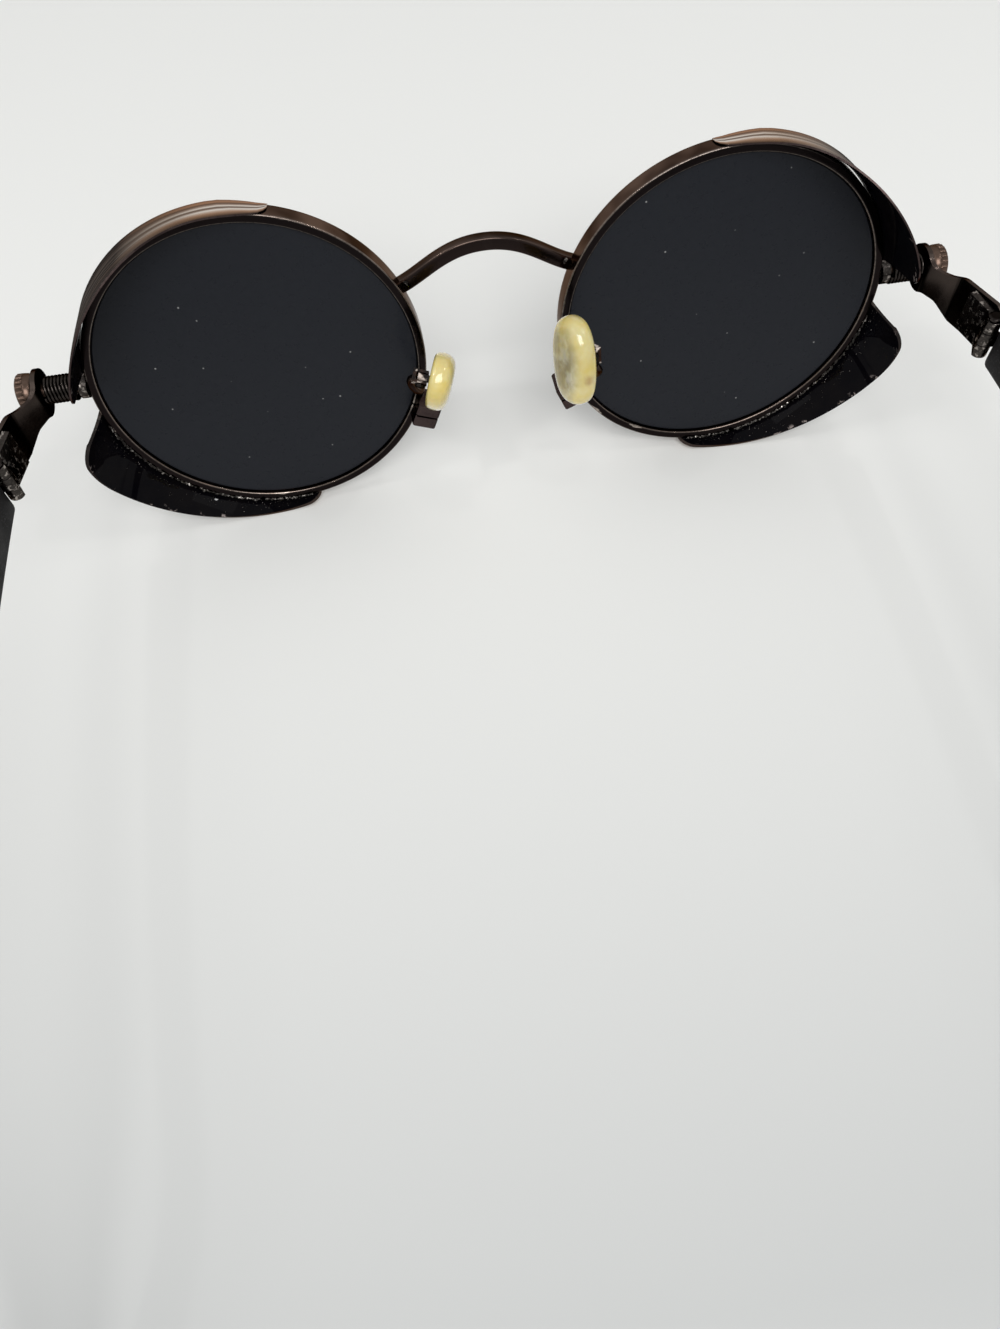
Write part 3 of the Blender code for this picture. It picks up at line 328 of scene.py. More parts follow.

# %% [markdown]
# The outer side of a shield carries pale and dark bands that run round the rim: painted
# reflections of the light, as a polished sheet would mirror it. So an attribute of the sheet,
# which counts from its front edge to its rear edge, picks the colour from a ramp, and slow noise
# lets the bands sway. Towards the temple they give way to a darker part, which is no metal, so
# it gets a shader of its own. A Mix Shader lays it over the banded metal, by a second attribute
# that counts round the rim and by streaks along the bands.

# %% Painted reflection bands for the outer side of the shields
shield_outside = Finish("shield_outside", Metallic=1.0, Specular_Tint=(0.68, 0.56, 0.48, 1.0))
# Painted reflections: the pale stops of this ramp are streaks of mirrored light.
painted_reflection_bands = (
    (0.00, (0.30, 0.165, 0.110)), (0.12, (0.44, 0.260, 0.175)), (0.21, (0.13, 0.090, 0.073)),
    (0.30, (0.42, 0.330, 0.285)), (0.39, (0.98, 0.930, 0.870)), (0.47, (0.15, 0.112, 0.095)),
    (0.53, (0.30, 0.240, 0.210)), (0.62, (0.98, 0.950, 0.910)), (0.73, (0.62, 0.480, 0.390)),
    (0.82, (0.40, 0.255, 0.180)), (1.00, (0.06, 0.045, 0.040)))
sway = shield_outside.between(shield_outside.speckle(90.0), 0.3, 0.7, -0.03, 0.03)
over_bands = shield_outside.painted("across") + sway
streaks = shield_outside.node("TexNoise", {"noise_dimensions": "1D"},
                              {"W": over_bands, "Scale": 11.0, "Detail": 2.0})
# Darker towards the temple end: a dull dark shader is mixed in there.
near_temple = 1 - shield_outside.between(shield_outside.painted("around"), 0.50, 0.80)
darker_near_temple = near_temple * shield_outside.between(streaks, 0.42, 0.60, 0.86, 1.0)
shield_outside.set(
    Base_Color=shield_outside.node("ValToRGB", {"stops": painted_reflection_bands}, {"Fac": over_bands}),
    Roughness=shield_outside.between(shield_outside.speckle(polish_scale, 3.0, 0.6),
                                     0.3, 0.7, 0.16, 0.26),
)
banded_metal = Wire(shield_outside, shield_outside.shader.outputs[0])
dark_shader = shield_outside.node("BsdfPrincipled", None, {
    "Base Color": (0.022, 0.019, 0.018), "Specular IOR Level": 0.0})
both = shield_outside.node("MixShader", None, {0: darker_near_temple, 1: banded_metal, 2: dark_shader})
shield_outside.plug(shield_outside.tree.nodes["Material Output"].inputs["Surface"], both)

# %% [markdown]
# The hollow side of a shield mirrors the dark lens beside it, so its colour is a painted dark
# reflection: a black gloss that keeps that look from every side. Faint wipes keep it from
# looking like plastic, and near the rear edge a few pale chips show the metal, where the sheet
# has been knocked; they also serve as painted glints.

# %% Painted black reflection, with chips and painted glints, for the hollow side
shield_inside = Finish("shield_inside", Metallic=0.0, Specular_IOR_Level=0.0,
                       Coat_Weight=0.12, Coat_Roughness=0.03)
wipes = shield_inside.between(shield_inside.speckle(180.0, 4.0, 0.65), 0.42, 0.64)
# Painted dark reflection: near black, for the lens that the sheet mirrors.
painted_dark_reflection = shield_inside.blend(wipes, (0.0016, 0.0014, 0.0024), (0.0034, 0.0028, 0.0034))
# Pale chips near the rear edge, which are also painted glints.
rear_edge = shield_inside.between(shield_inside.painted("across"), 0.88, 0.97)
chips_and_glints = rear_edge * shield_inside.between(shield_inside.speckle(620.0, 4.0, 0.65), 0.60, 0.65)
shield_inside.set(
    Base_Color=shield_inside.blend(chips_and_glints * 0.8, painted_dark_reflection, (0.34, 0.29, 0.27)),
    Roughness=shield_inside.between(wipes, 0.0, 1.0, 0.10, 0.24),
    Normal=shield_inside.bump(shield_inside.speckle(5200.0, 2.0, 0.6), 0.10, 0.00003),
)

# %% [markdown]
# The lenses are tinted so strongly that the table doesn't show through. They are flat and
# dusty: the plain dark grey comes from a rough, weak gloss, and a few specks of dust lie on it.
# Voronoi cells give the specks, because each cell holds one point, and a threshold on the
# distance to that point makes it a dot. A second noise leaves most cells without one.

# %% Dark tinted lens with dust
lens_tint = Finish("lens_tint", Metallic=0.0, Specular_IOR_Level=0.12, Alpha=0.985)
cells = lens_tint.node("TexVoronoi", None, {"Vector": lens_tint.object_place(), "Scale": 420.0})
dots = 1 - lens_tint.between(cells, 0.035, 0.075)
dust = dots * lens_tint.between(lens_tint.speckle(330.0, 1.0), 0.57, 0.61)
haze = lens_tint.between(lens_tint.speckle(900.0, 5.0, 0.7), 0.35, 0.7)
tint = lens_tint.blend(haze, (0.0123, 0.0136, 0.0176), (0.0137, 0.0150, 0.0192))
lens_tint.set(
    Base_Color=lens_tint.blend(dust * 0.55, tint, (0.45, 0.45, 0.44)),
    Roughness=lens_tint.between(haze, 0.0, 1.0, 0.26, 0.38),
)

# %% [markdown]
# The temples end in matte black plastic with a fine grain, like many injection moulded tips.
# Hair and skin have rubbed it smoother in places, so one slow noise moves both its colour and
# its roughness, and a fine one gives the grain and a few pale flecks.

# %% Matte plastic for the temples
sleeve_plastic = Finish("sleeve_plastic", Metallic=0.0, Specular_IOR_Level=0.11)
grain = sleeve_plastic.speckle(3400.0, 2.0, 0.65)
flecks = sleeve_plastic.between(grain, 0.60, 0.72)
rubbed = sleeve_plastic.between(sleeve_plastic.speckle(120.0, 3.0, 0.6), 0.40, 0.65)
sleeve_base = sleeve_plastic.blend(rubbed, (0.006, 0.0055, 0.006), (0.013, 0.012, 0.0125))
sleeve_plastic.set(
    Base_Color=sleeve_plastic.blend(flecks * 0.6, sleeve_base, (0.075, 0.075, 0.080)),
    Roughness=sleeve_plastic.between(rubbed, 0.0, 1.0, 0.58, 0.44),
    Normal=sleeve_plastic.bump(grain, 0.45, 0.00006),
)

# %% [markdown]
# The nose pads are soft silicone that has yellowed: murky and pale in the middle, and deep
# yellow at the thick rim. Subsurface scattering and some transmission give its soft light. Its
# colours follow the pad and not the room, so three numbers are painted on the mesh later: how
# near the rim is, how much of the metal insert lies behind, which gives a painted shade of the
# insert seen through, and where the stain is.

# %% Yellowed silicone for the nose pads
silicone = Finish(
    "yellowed_silicone", Metallic=0.0, Subsurface_Weight=0.35, Subsurface_Scale=0.0010,
    Subsurface_Radius=(1.0, 0.80, 0.35), Transmission_Weight=0.35, IOR=1.41, Coat_Weight=0.9,
    Coat_Roughness=0.05,
)
cloud = silicone.between(silicone.speckle(240.0, 3.0, 0.55), 0.38, 0.62)
murky = silicone.between(silicone.speckle(430.0, 3.0, 0.55), 0.42, 0.60)
# Painted shade: grey where the metal insert lies behind the silicone.
painted_insert_shade = silicone.painted("behind") * silicone.between(murky, 0.0, 1.0, 0.25, 1.0)
pale = silicone.blend(cloud, (0.93, 0.89, 0.70), (0.76, 0.67, 0.32))
pale = silicone.blend(murky * 0.6, pale, (0.42, 0.34, 0.13))
pale = silicone.blend(painted_insert_shade, pale, (0.46, 0.39, 0.23))
yellow = silicone.blend(cloud, (0.92, 0.81, 0.40), (0.86, 0.69, 0.20))
aged = silicone.blend(silicone.painted("near_rim"), pale, yellow)
silicone.set(
    Base_Color=silicone.blend(silicone.painted("stain") * 0.85, aged, (0.40, 0.15, 0.03)),
    Roughness=silicone.between(cloud, 0.0, 1.0, 0.14, 0.26),
    Normal=silicone.bump(silicone.speckle(420.0), 0.45, 0.00020),
)

# %% [markdown]
# ## Helpers for the pieces
#
# Every drawing ends in the same way. `settle` puts it in its place, hands it to its body and
# hides the plain solid that it stands for. `soften` adds a Bevel modifier, because an edge
# without a small radius catches no light.

# %% Put a drawing in its place


def settle(shape, name, finish, body, place, side=1, stands_for=(), *, crease=35.0):
    """Put a drawing in place as a named piece that rides on a body."""
    if side < 0:
        bmesh.ops.scale(shape, vec=(-1, 1, 1), verts=shape.verts)
    bmesh.ops.transform(shape, matrix=place, verts=shape.verts)
    bmesh.ops.recalc_face_normals(shape, faces=shape.faces)
    mesh = bpy.data.meshes.new(name)
    shape.to_mesh(mesh)
    shape.free()
    mesh.materials.append(finish)
    mesh.shade_smooth()
    mesh.set_sharp_from_angle(angle=radians(crease))
    piece = bpy.data.objects.new(name, mesh)
    bpy.context.scene.collection.objects.link(piece)
    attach(piece, body)
    if stands_for:
        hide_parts(*stands_for)
    print(name, "has", len(mesh.polygons), "faces")
    return piece


def soften(piece, width, segments=2, angle=30.0):
    """Round a piece's edges a little, so that they catch the light."""
    bevel = piece.modifiers.new("soft edges", "BEVEL")
    bevel.width = width
    bevel.segments = segments
    bevel.limit_method = "ANGLE"
    bevel.angle_limit = radians(angle)
    bevel.harden_normals = True
    bevel.use_clamp_overlap = True
    return piece


# %% [markdown]
# Three ways of making a shape do nearly all of the work. `carry` extrudes a flat outline from
# frame to frame, which gives bridges, wires and temples. `turned` spins a profile about an
# axis, which gives round pieces. `refined` takes a copy of a solid, merges its loose triangles
# and softens its edges, which suits blocks and bent sheet.

# %% Carry, turn or refine a shape


def frames_along(path, sideways):
    """Frames on a path: their z axis follows it, and their x axis stays near one direction."""
    frames = []
    last = len(path) - 1
    for index, point in enumerate(path):
        along = (path[min(index + 1, last)] - path[max(index - 1, 0)]).normalized()
        across = (sideways - along * sideways.dot(along)).normalized()
        turn = Matrix((across, along.cross(across), along)).transposed()
        frames.append(Matrix.Translation(point) @ turn.to_4x4())
    return frames


def carry(outlines, frames):
    """Extrude a flat outline from frame to frame into one closed solid."""
    shape = bmesh.new()
    ring = [shape.verts.new(frames[0] @ Vector((a, b, 0))) for a, b in outlines[0]]
    cap = shape.faces.new(ring)
    for index, (outline, place) in enumerate(zip(outlines[1:], frames[1:])):
        grown = bmesh.ops.extrude_face_region(shape, geom=[cap])["geom"]
        if index:
            bmesh.ops.delete(shape, geom=[cap], context="FACES_ONLY")
        cap = next(item for item in grown if isinstance(item, bmesh.types.BMFace))
        for corner, (a, b) in zip(cap.verts, outline):
            corner.co = place @ Vector((a, b, 0))
    return shape


def turned(stations, steps):
    """Spin (distance, radius) pairs about the z axis; the profile starts and ends on it."""
    shape = bmesh.new()
    line = [shape.verts.new((radius, 0, distance)) for distance, radius in stations]
    edges = [shape.edges.new(pair) for pair in zip(line, line[1:])]
    bmesh.ops.spin(shape, geom=line + edges, cent=(0, 0, 0), axis=(0, 0, 1), angle=2 * pi,
                   steps=steps, use_merge=True)
    bmesh.ops.remove_doubles(shape, verts=shape.verts, dist=1e-6)
    return shape


def refined(node, finish, body, width, *, crease=35.0):
    """A merged copy of a solid with softened edges, in the solid's own place."""
    shape = bmesh.new()
    shape.from_mesh(frame["nodes"][node].data)
    bmesh.ops.remove_doubles(shape, verts=shape.verts, dist=2e-6)
    bmesh.ops.dissolve_limit(shape, angle_limit=radians(0.6), verts=shape.verts,
                             edges=shape.edges)
    return soften(settle(shape, f"fine_{node}", finish, body, Matrix(), stands_for=[node],
                         crease=crease), width)


# %% [markdown]
# The outlines that are carried are lists of two numbers, and the arch follows a cubic curve.
# These are formulas with no mesh in them, so they are plain functions.

# %% Outlines and a curve


def circle(radius, count):
    """A round outline."""
    turns = [2 * pi * step / count for step in range(count)]
    return [(radius * cos(turn), radius * sin(turn)) for turn in turns]


def rounded_box(width, height, corner, steps=5):
    """A rectangle with round corners, as an outline."""
    outline = []
    for quarter, (a, b) in enumerate(((1, 1), (-1, 1), (-1, -1), (1, -1))):
        for step in range(steps + 1):
            turn = (quarter + step / steps) * pi / 2
            outline.append((a * (width / 2 - corner) + corner * cos(turn),
                            b * (height / 2 - corner) + corner * sin(turn)))
    return outline


def bezier(start, handle_a, handle_b, end, steps):
    """Points on a cubic curve."""
    points = []
    for step in range(steps + 1):
        share = step / steps
        back = 1 - share
        points.append(start * back ** 3 + handle_a * (3 * back * back * share)
                      + handle_b * (3 * back * share * share) + end * share ** 3)
    return points


# %% [markdown]
# ## Rims
#
# A rim is a profile spun almost a full turn about the middle of the lens. The gap that is left
# is the slit of the closing block. The corners of the profile are bevelled before the spin,
# when they are only points, which is the cheapest way of rounding a ring's edges. A few more
# points on its flats keep the paler edges, worn and painted as highlights, close to the corners,
# because they follow pointiness.

# %% Spin the rims
rim_inner = 0.0240
rim_wall = 0.0013
rim_outer = rim_inner + rim_wall
rim_depth = 0.0030
rim_corner = 0.00022
shortest_flat = 0.0004
groove_half = 0.00075
groove_deep = 0.0006
lock_angle = radians(203.0)
lock_slit = 0.0003


def round_eye(angle, radius, behind):
    """A point by its angle and radius about the lens, and its distance behind the middle."""
    return Vector((radius * cos(angle), behind, radius * sin(angle)))


def build_rim(side, word):
    """An open ring with a groove for the lens."""
    half = rim_depth / 2
    corners = [(rim_inner, -groove_half), (rim_inner, -half), (rim_outer, -half),
               (rim_outer, half), (rim_inner, half), (rim_inner, groove_half),
               (rim_inner + groove_deep, 0)]
    shape = bmesh.new()
    slit = lock_slit / 2 / rim_outer
    start = lock_angle + slit
    points = [shape.verts.new(round_eye(start, radius, behind)) for radius, behind in corners]
    shape.faces.new(points)
    bmesh.ops.bevel(shape, geom=points[1:5], affect="VERTICES", offset=rim_corner, segments=4,
                    profile=0.5, material=-1)
    flats = [edge for edge in shape.edges if edge.calc_length() > shortest_flat]
    bmesh.ops.subdivide_edges(shape, edges=flats, cuts=4)
    profile = shape.verts[:] + shape.edges[:]
    bmesh.ops.delete(shape, geom=shape.faces[:], context="FACES_ONLY")
    bmesh.ops.spin(shape, geom=profile, cent=(0, 0, 0), axis=-Y, angle=2 * pi - 2 * slit,
                   steps=220)
    bmesh.ops.holes_fill(shape, edges=[edge for edge in shape.edges if edge.is_boundary])
    return settle(shape, f"ring_{word}", frame_metal, "front", eye[word], side,
                  [f"rim_{word}"])


for side, word in SIDES:
    build_rim(side, word)

# %% [markdown]
# The lens is a flat disc with a bevelled edge that sits in the rim's groove, so it is a short
# turned profile. It is drawn finer than the solid only to give a clean round edge.

# %% Turn the lenses
lens_half = 0.0009
lens_room = 0.00012
lens_ridge = rim_inner + groove_deep - lens_room


def build_lens(side, word):
    """A flat disc with a ridge round its edge."""
    face = lens_ridge - lens_half * groove_deep / groove_half
    profile = ((-lens_half, 0), (-lens_half, face), (0, lens_ridge), (lens_half, face),
               (lens_half, 0))
    flat = Matrix.Rotation(radians(-90), 4, "X")
    return settle(turned(profile, 180), f"glass_{word}", lens_tint.material, "front",
                  eye[word] @ flat, side, [f"lens_{word}"], crease=20.0)


for side, word in SIDES:
    build_lens(side, word)

# %% [markdown]
# ## Side shields
#
# Each shield is a bent sheet. A grid gives the sheet, and its points are then moved on the
# surface that hugs the rim. One direction of the grid runs round the rim, the other backwards.
# Two functions give the form: how far back the sheet reaches, and how far it flares outwards.
# The columns of the grid crowd together at both ends, so that the round corners stay round.

# %% The grid of a shield and its round corners
corner_columns = 8
arc_columns = 84
depth_rows = 20


def column_distance(column, length, corner_a, corner_b):
    """Where a column of the grid lies; the columns crowd together at the round corners."""
    if column <= corner_columns:
        return corner_a * (1 - cos(pi / 2 * column / corner_columns))
    from_end = 2 * corner_columns + arc_columns - column
    if from_end <= corner_columns:
        return length - corner_b * (1 - cos(pi / 2 * from_end / corner_columns))
    share = (column - corner_columns) / arc_columns
    return corner_a + (length - corner_a - corner_b) * share


def corner_drop(distance, corner, depth):
    """How much shorter the sheet is close to its rounded end."""
    if distance >= corner:
        return 0.0
    return depth * (1 - sqrt(max(1 - (1 - distance / corner) ** 2, 0)))


# %% [markdown]
# The sheet gets its thickness from the Solidify modifier, which also puts other finishes on
# its outer side and on its edges. The top shields are thinned towards their inner end and
# their rear edge, as if filed, and a vertex group tells the modifier where. The wall grows
# away from the side that the faces look to, so they are turned towards the lens first.

# %% Bend a shield from a grid
sheet_thickness = 0.0006
sheet_lap = 0.0012
sheet_base = rim_outer + 0.0001
sheet_corner = 0.00020
flare_power = 1.4
thinnest = 0.2
rear_thinning = 0.6


def paint(piece, name, values):
    """Store one number for each point of a mesh."""
    layer = piece.data.attributes.new(name, "FLOAT", "POINT")
    layer.data.foreach_set("value", values)


def build_shield(name, node, side, word, angles, reach, flare, corners, depths, edge, fade=0):
    """Move a grid on the surface of a shield and give it a wall."""
    root, tip, inner = angles
    length = abs(inner - tip) * rim_outer
    columns = 2 * corner_columns + arc_columns
    shape = bmesh.new()
    bmesh.ops.create_grid(shape, x_segments=columns, y_segments=depth_rows, size=0.5)
    across, around, wall_shares = [], [], []
    for point in shape.verts:
        column = round((point.co.x + 0.5) * columns)
        run = point.co.y + 0.5
        distance = column_distance(column, length, *corners)
        share = distance / length
        deep = reach(share) - corner_drop(distance, corners[0], depths[0])
        deep -= corner_drop(length - distance, corners[1], depths[1])
        across.append(run)
        around.append(share)
        near_end = max((length - distance) / fade, thinnest) if fade else 1
        near_rear = 1 - rear_thinning * run ** 2 if fade else 1
        wall_shares.append(min(near_end, near_rear))
        spread = flare(share) * deep / reach(share)
        behind = -sheet_lap + (deep + sheet_lap) * run
        slant = min(max(behind / reach(0), 0), 1)
        end = root + (tip - root) * slant
        point.co = round_eye(end + (inner - end) * share,
                             sheet_base + spread * run ** flare_power, behind)
    bmesh.ops.recalc_face_normals(shape, faces=shape.faces)
    middles = [face.calc_center_median() for face in shape.faces]
    looking_out = sum(face.normal.dot(Vector((middle.x, 0, middle.z)))
                      for face, middle in zip(shape.faces, middles))
    if looking_out > 0:
        bmesh.ops.reverse_faces(shape, faces=shape.faces)
    if side < 0:
        bmesh.ops.scale(shape, vec=(-1, 1, 1), verts=shape.verts)
        bmesh.ops.reverse_faces(shape, faces=shape.faces)
    bmesh.ops.transform(shape, matrix=eye[word], verts=shape.verts)
    mesh = bpy.data.meshes.new(name)
    shape.to_mesh(mesh)
    shape.free()
    for material in (shield_inside.material, shield_outside.material, edge):
        mesh.materials.append(material)
    mesh.shade_smooth()
    piece = bpy.data.objects.new(name, mesh)
    bpy.context.scene.collection.objects.link(piece)
    paint(piece, "across", across)
    paint(piece, "around", around)
    group = piece.vertex_groups.new(name="wall")
    for index, share in enumerate(wall_shares):
        group.add([index], share, "REPLACE")
    wall = piece.modifiers.new("wall", "SOLIDIFY")
    wall.thickness = sheet_thickness
    wall.thickness_vertex_group = 0.0
    wall.vertex_group = "wall"
    wall.offset = -1.0
    wall.use_even_offset = True
    wall.material_offset = 1
    wall.material_offset_rim = 2
    soften(piece, sheet_corner, 3, 50.0)
    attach(piece, "front")
    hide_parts(node)
    print(name, "is", round(length * 1000, 1), "mm long")


# %% [markdown]
# The top shield covers the corner of the eye at the temple and dies out over the rim. The
# bottom one is a gutter that opens outwards. Both forms are sums of a few smooth terms, each
# with one job, so a term can be changed without spoiling the others. The two top shields end
# at different angles, because they were bent and fitted by hand.

# %% Place the four shields
top_least, top_extra, top_fade = 0.0034, 0.0125, 1.1
top_bulge, top_pinch = 0.0017, 0.0006
gutter_least, gutter_extra, gutter_fade = 0.0028, 0.0056, 1.8
gutter_flare, gutter_pinch, gutter_tip = 0.0049, 0.46, 0.20


def top_reach(share):
    """Deep at the temple, dying out over the top of the rim."""
    return top_least + top_extra * ((1 + cos(pi * share)) / 2) ** top_fade


def top_flare(share):
    """A slight bulge, and a pinch at the tip."""
    return top_bulge * sin(pi * share) - top_pinch * (1 - share) ** 4


def bottom_reach(share):
    """A gutter that gets shallower under the eye."""
    return gutter_least + gutter_extra * (1 - share) ** gutter_fade


def bottom_flare(share):
    """The gutter opens outwards, but less so at its tip."""
    near_tip = max(1 - share / gutter_tip, 0)
    return gutter_flare * (1 - share ** 1.6) * (1 - gutter_pinch * near_tip ** 2)


top_root, top_tip = radians(9.5), radians(21.0)
top_end = {1: radians(106.0), -1: radians(98.0)}
bottom_angles = (radians(-8.0), radians(-10.5), radians(-99.5))
for side, word in SIDES:
    build_shield(f"upper_shield_{word}", f"top_shield_{word}", side, word,
                 (top_root, top_tip, top_end[side]), top_reach, top_flare,
                 corners=(0.0030, 0.0070), depths=(0.0030, 0.0043), edge=block_metal,
                 fade=0.0060)
    build_shield(f"lower_shield_{word}", f"bottom_shield_{word}", side, word, bottom_angles,
                 bottom_reach, bottom_flare, corners=(0.0026, 0.0025),
                 depths=(0.0026, 0.0025), edge=shield_outside.material)

# %% [markdown]
# The shields are brazed to the rims by hand, which leaves a rough bead with small drops beside
# it. The bead is a thin wire whose radius follows a noise. The drops are squashed icospheres of
# only twenty faces each, strewn by a seeded random generator.

# %% Rough solder along the lower shields
bead_radius = 0.00024
bead_sink = bead_radius * 0.1
bead_steps = 260
bead_sides = 8
bead_lumps = 1.1
lumps_along, lumps_around = 0.42, 9000
bead_overrun = (radians(3.5), radians(3.0))
drop_count = 260
drop_least, drop_extra = 0.00004, 0.00011
drop_spread, drop_lap = 0.0020, 0.0002
drop_limit = 0.9


def build_solder(side, word):
    """A lumpy bead in the corner of rim and shield, with drops on the sheet."""
    dice = random.Random(11 + side)
    root, tip, inner = bottom_angles
    first = root - bead_overrun[0]
    span = inner + bead_overrun[1] - first
    path, outlines = [], []
    for step in range(bead_steps + 1):
        path.append(round_eye(first + span * step / bead_steps, rim_outer - bead_sink,
                              rim_depth / 2 - bead_sink))
        outline = []
        for a, b in circle(bead_radius, bead_sides):
            place = Vector((step * lumps_along, a * lumps_around, b * lumps_around))
            lump = noise.noise(place + Vector((side, 0, 0)))
            outline.append((a * (1 + lump * bead_lumps), b * (1 + lump * bead_lumps)))
        outlines.append(outline)
    shape = carry(outlines, frames_along(path, Y))
    for drop in range(drop_count):
        share = dice.random()
        behind = rim_depth / 2 + drop_spread * dice.random() ** 2 - drop_lap
        deep = bottom_reach(share)
        run = (behind + sheet_lap) / (deep + sheet_lap)
        if run > drop_limit:
            continue
        angle = root + (tip - root) * min(behind / bottom_reach(0), 1)
        angle += (inner - angle) * share
        radius = sheet_base + bottom_flare(share) * run ** flare_power
        size = drop_least + drop_extra * dice.random() ** 2
        squash = Matrix.Diagonal((1, 1, 0.8 + 0.6 * dice.random(), 1))
        lump = Matrix.Translation(round_eye(angle, radius, behind)) @ squash
        bmesh.ops.create_icosphere(shape, subdivisions=1, radius=size, matrix=lump)
    return settle(shape, f"solder_{word}", solder, "front", eye[word], side,
                  crease=60.0)


for side, word in SIDES:
    build_solder(side, word)

# %% [markdown]
# ## Bridge
#
# The bridge is square wire, bent to an arch and brazed on the front of both rims. Its outline
# is carried along a Bezier curve. The flat facets with their narrow round edges are what gives
# the photographed arch its one light and one dark side.

# %% Carry the bridge over the nose
bridge_size = (0.0020, 0.0021)
bridge_corner = 0.00045
bridge_gap = 0.00012
bridge_height = 0.0141
crown_handle, foot_handle = 0.0060, 0.0045
bridge_forward = rim_depth / 2 + bridge_gap + bridge_size[0] / 2
foot_angle = pi - radians(21.5)
foot_out = Vector((cos(foot_angle), 0, sin(foot_angle)))
foot = Vector((half_spacing, 0, 0)) + round_eye(foot_angle, rim_inner + rim_wall * 0.35,
                                                 -bridge_forward)
crown = Vector((0, -bridge_forward, bridge_height))
half_arch = bezier(crown, crown + X * crown_handle, foot + foot_out * foot_handle, foot, 40)
arch = [Vector((-point.x, point.y, point.z)) for point in half_arch[:0:-1]] + half_arch
bar = rounded_box(*bridge_size, bridge_corner)
settle(carry([bar] * len(arch), frames_along(arch, Y)), "arch", bridge_metal, "front", front,
       stands_for=["bridge"])

# %% [markdown]
# At each foot of the arch the brazing has left one bright spot. A small icosphere, pushed in
# and out by noise, is enough for it.

# %% Brazing spots at the feet of the arch
spot_radius = 0.00042
spot_lumps, lumps_scale = 0.35, 4200
spot_along, spot_rise = 0.0012, 0.00045
for side, word in SIDES:
    shape = bmesh.new()
    bmesh.ops.create_icosphere(shape, subdivisions=3, radius=spot_radius)
    for point in shape.verts:
        point.co *= 1 + spot_lumps * noise.noise(point.co * lumps_scale + Vector((side, 2, 0)))
    spot = foot + foot_out * spot_along + Vector((0, bridge_size[0] / 2, spot_rise))
    settle(shape, f"braze_{word}", solder, "front",
           front @ Matrix.Translation((side * spot.x, spot.y, spot.z)),
           crease=60.0)

# %% [markdown]
# ## Thumb screws, springs and end lugs
#
# The knurled head is a round outline whose radius rises and falls once a ridge. Carrying it
# along the screw's axis, with a smaller size at both ends, gives ridges that run out in a
# chamfer. A table of stations gives the shoulder, the collar and the head, each with its
# distance, its radius and the depth of its ridges.

# %% Thumb screws
fit = 0.00012
lug_length = 0.0011
spring_room = 0.00548
lug_end = rim_outer + fit + lug_length
plate_inner = lug_end + spring_room
plate_thickness = 0.0007
rod_from_eye = Matrix.Translation((0, 0.0003, 0.0018))
rod = {word: eye[word] @ rod_from_eye for side, word in SIDES}
shank_radius = 0.0011
knob_radius = 0.0029
knob_ridges = 26
points_a_ridge = 6
ridge_shape = 0.7
ridge_depth = 0.00020
along_x = Matrix(((0, 0, 1, 0), (1, 0, 0, 0), (0, 1, 0, 0), (0, 0, 0, 1)))


def knob_outline(radius, ridge):
    """A round outline with straight ridges."""
    outline = []
    count = knob_ridges * points_a_ridge
    for step in range(count):
        turn = 2 * pi * step / count
        wave = abs(cos(knob_ridges * turn / 2)) ** ridge_shape
        outline.append(((radius - ridge * wave) * cos(turn), (radius - ridge * wave) * sin(turn)))
    return outline


def build_knob(side, word):
    """The screw: shank, collar and ridged head."""
    start = rim_outer + 0.00052
    under = plate_inner + plate_thickness + fit
    collar = under + 0.0003
    top = collar + 0.0022
    band = collar + 0.0009
    stations = [
        (start, 0.0008, 0), (start + 0.0003, shank_radius, 0), (under, shank_radius, 0),
        (under + 0.00001, 0.0023, 0), (under + 0.00012, 0.00252, 0),
        (collar + 0.0001, 0.00268, 0), (collar + 0.00035, 0.00280, 0),
        (band - 0.00010, 0.00286, 0), (band, 0.00286, ridge_depth / 10),
        (band + 0.00014, knob_radius, ridge_depth), (top - 0.00040, knob_radius, ridge_depth),
        (top - 0.00018, 0.00274, ridge_depth / 5), (top, 0.0024, 0), (top + 0.00018, 0.0014, 0),
        (top + 0.00022, 0.0004, 0),
    ]
    outlines = [knob_outline(radius, ridge) for x, radius, ridge in stations]
    frames = [Matrix.Translation((x, 0, 0)) @ along_x for x, radius, ridge in stations]
    settle(carry(outlines, frames), f"knob_{word}_fine", knob_metal, f"knob_{word}",
           rod[word], side, [f"thumb_screw_{word}"], crease=30.0)


for side, word in SIDES:
    build_knob(side, word)

# %% [markdown]
# The spring is a curve object with a round bevel, because a helix is only a list of points on
# a formula. It is wound closer than the solid's spring, as the real one is. The lug beside it
# has its right shape in the model already and only gets softer edges.

# %% Coil springs and end lugs
spring_wire = 0.00052
spring_radius = 0.00180
spring_turns = 9
steps_a_turn = 28


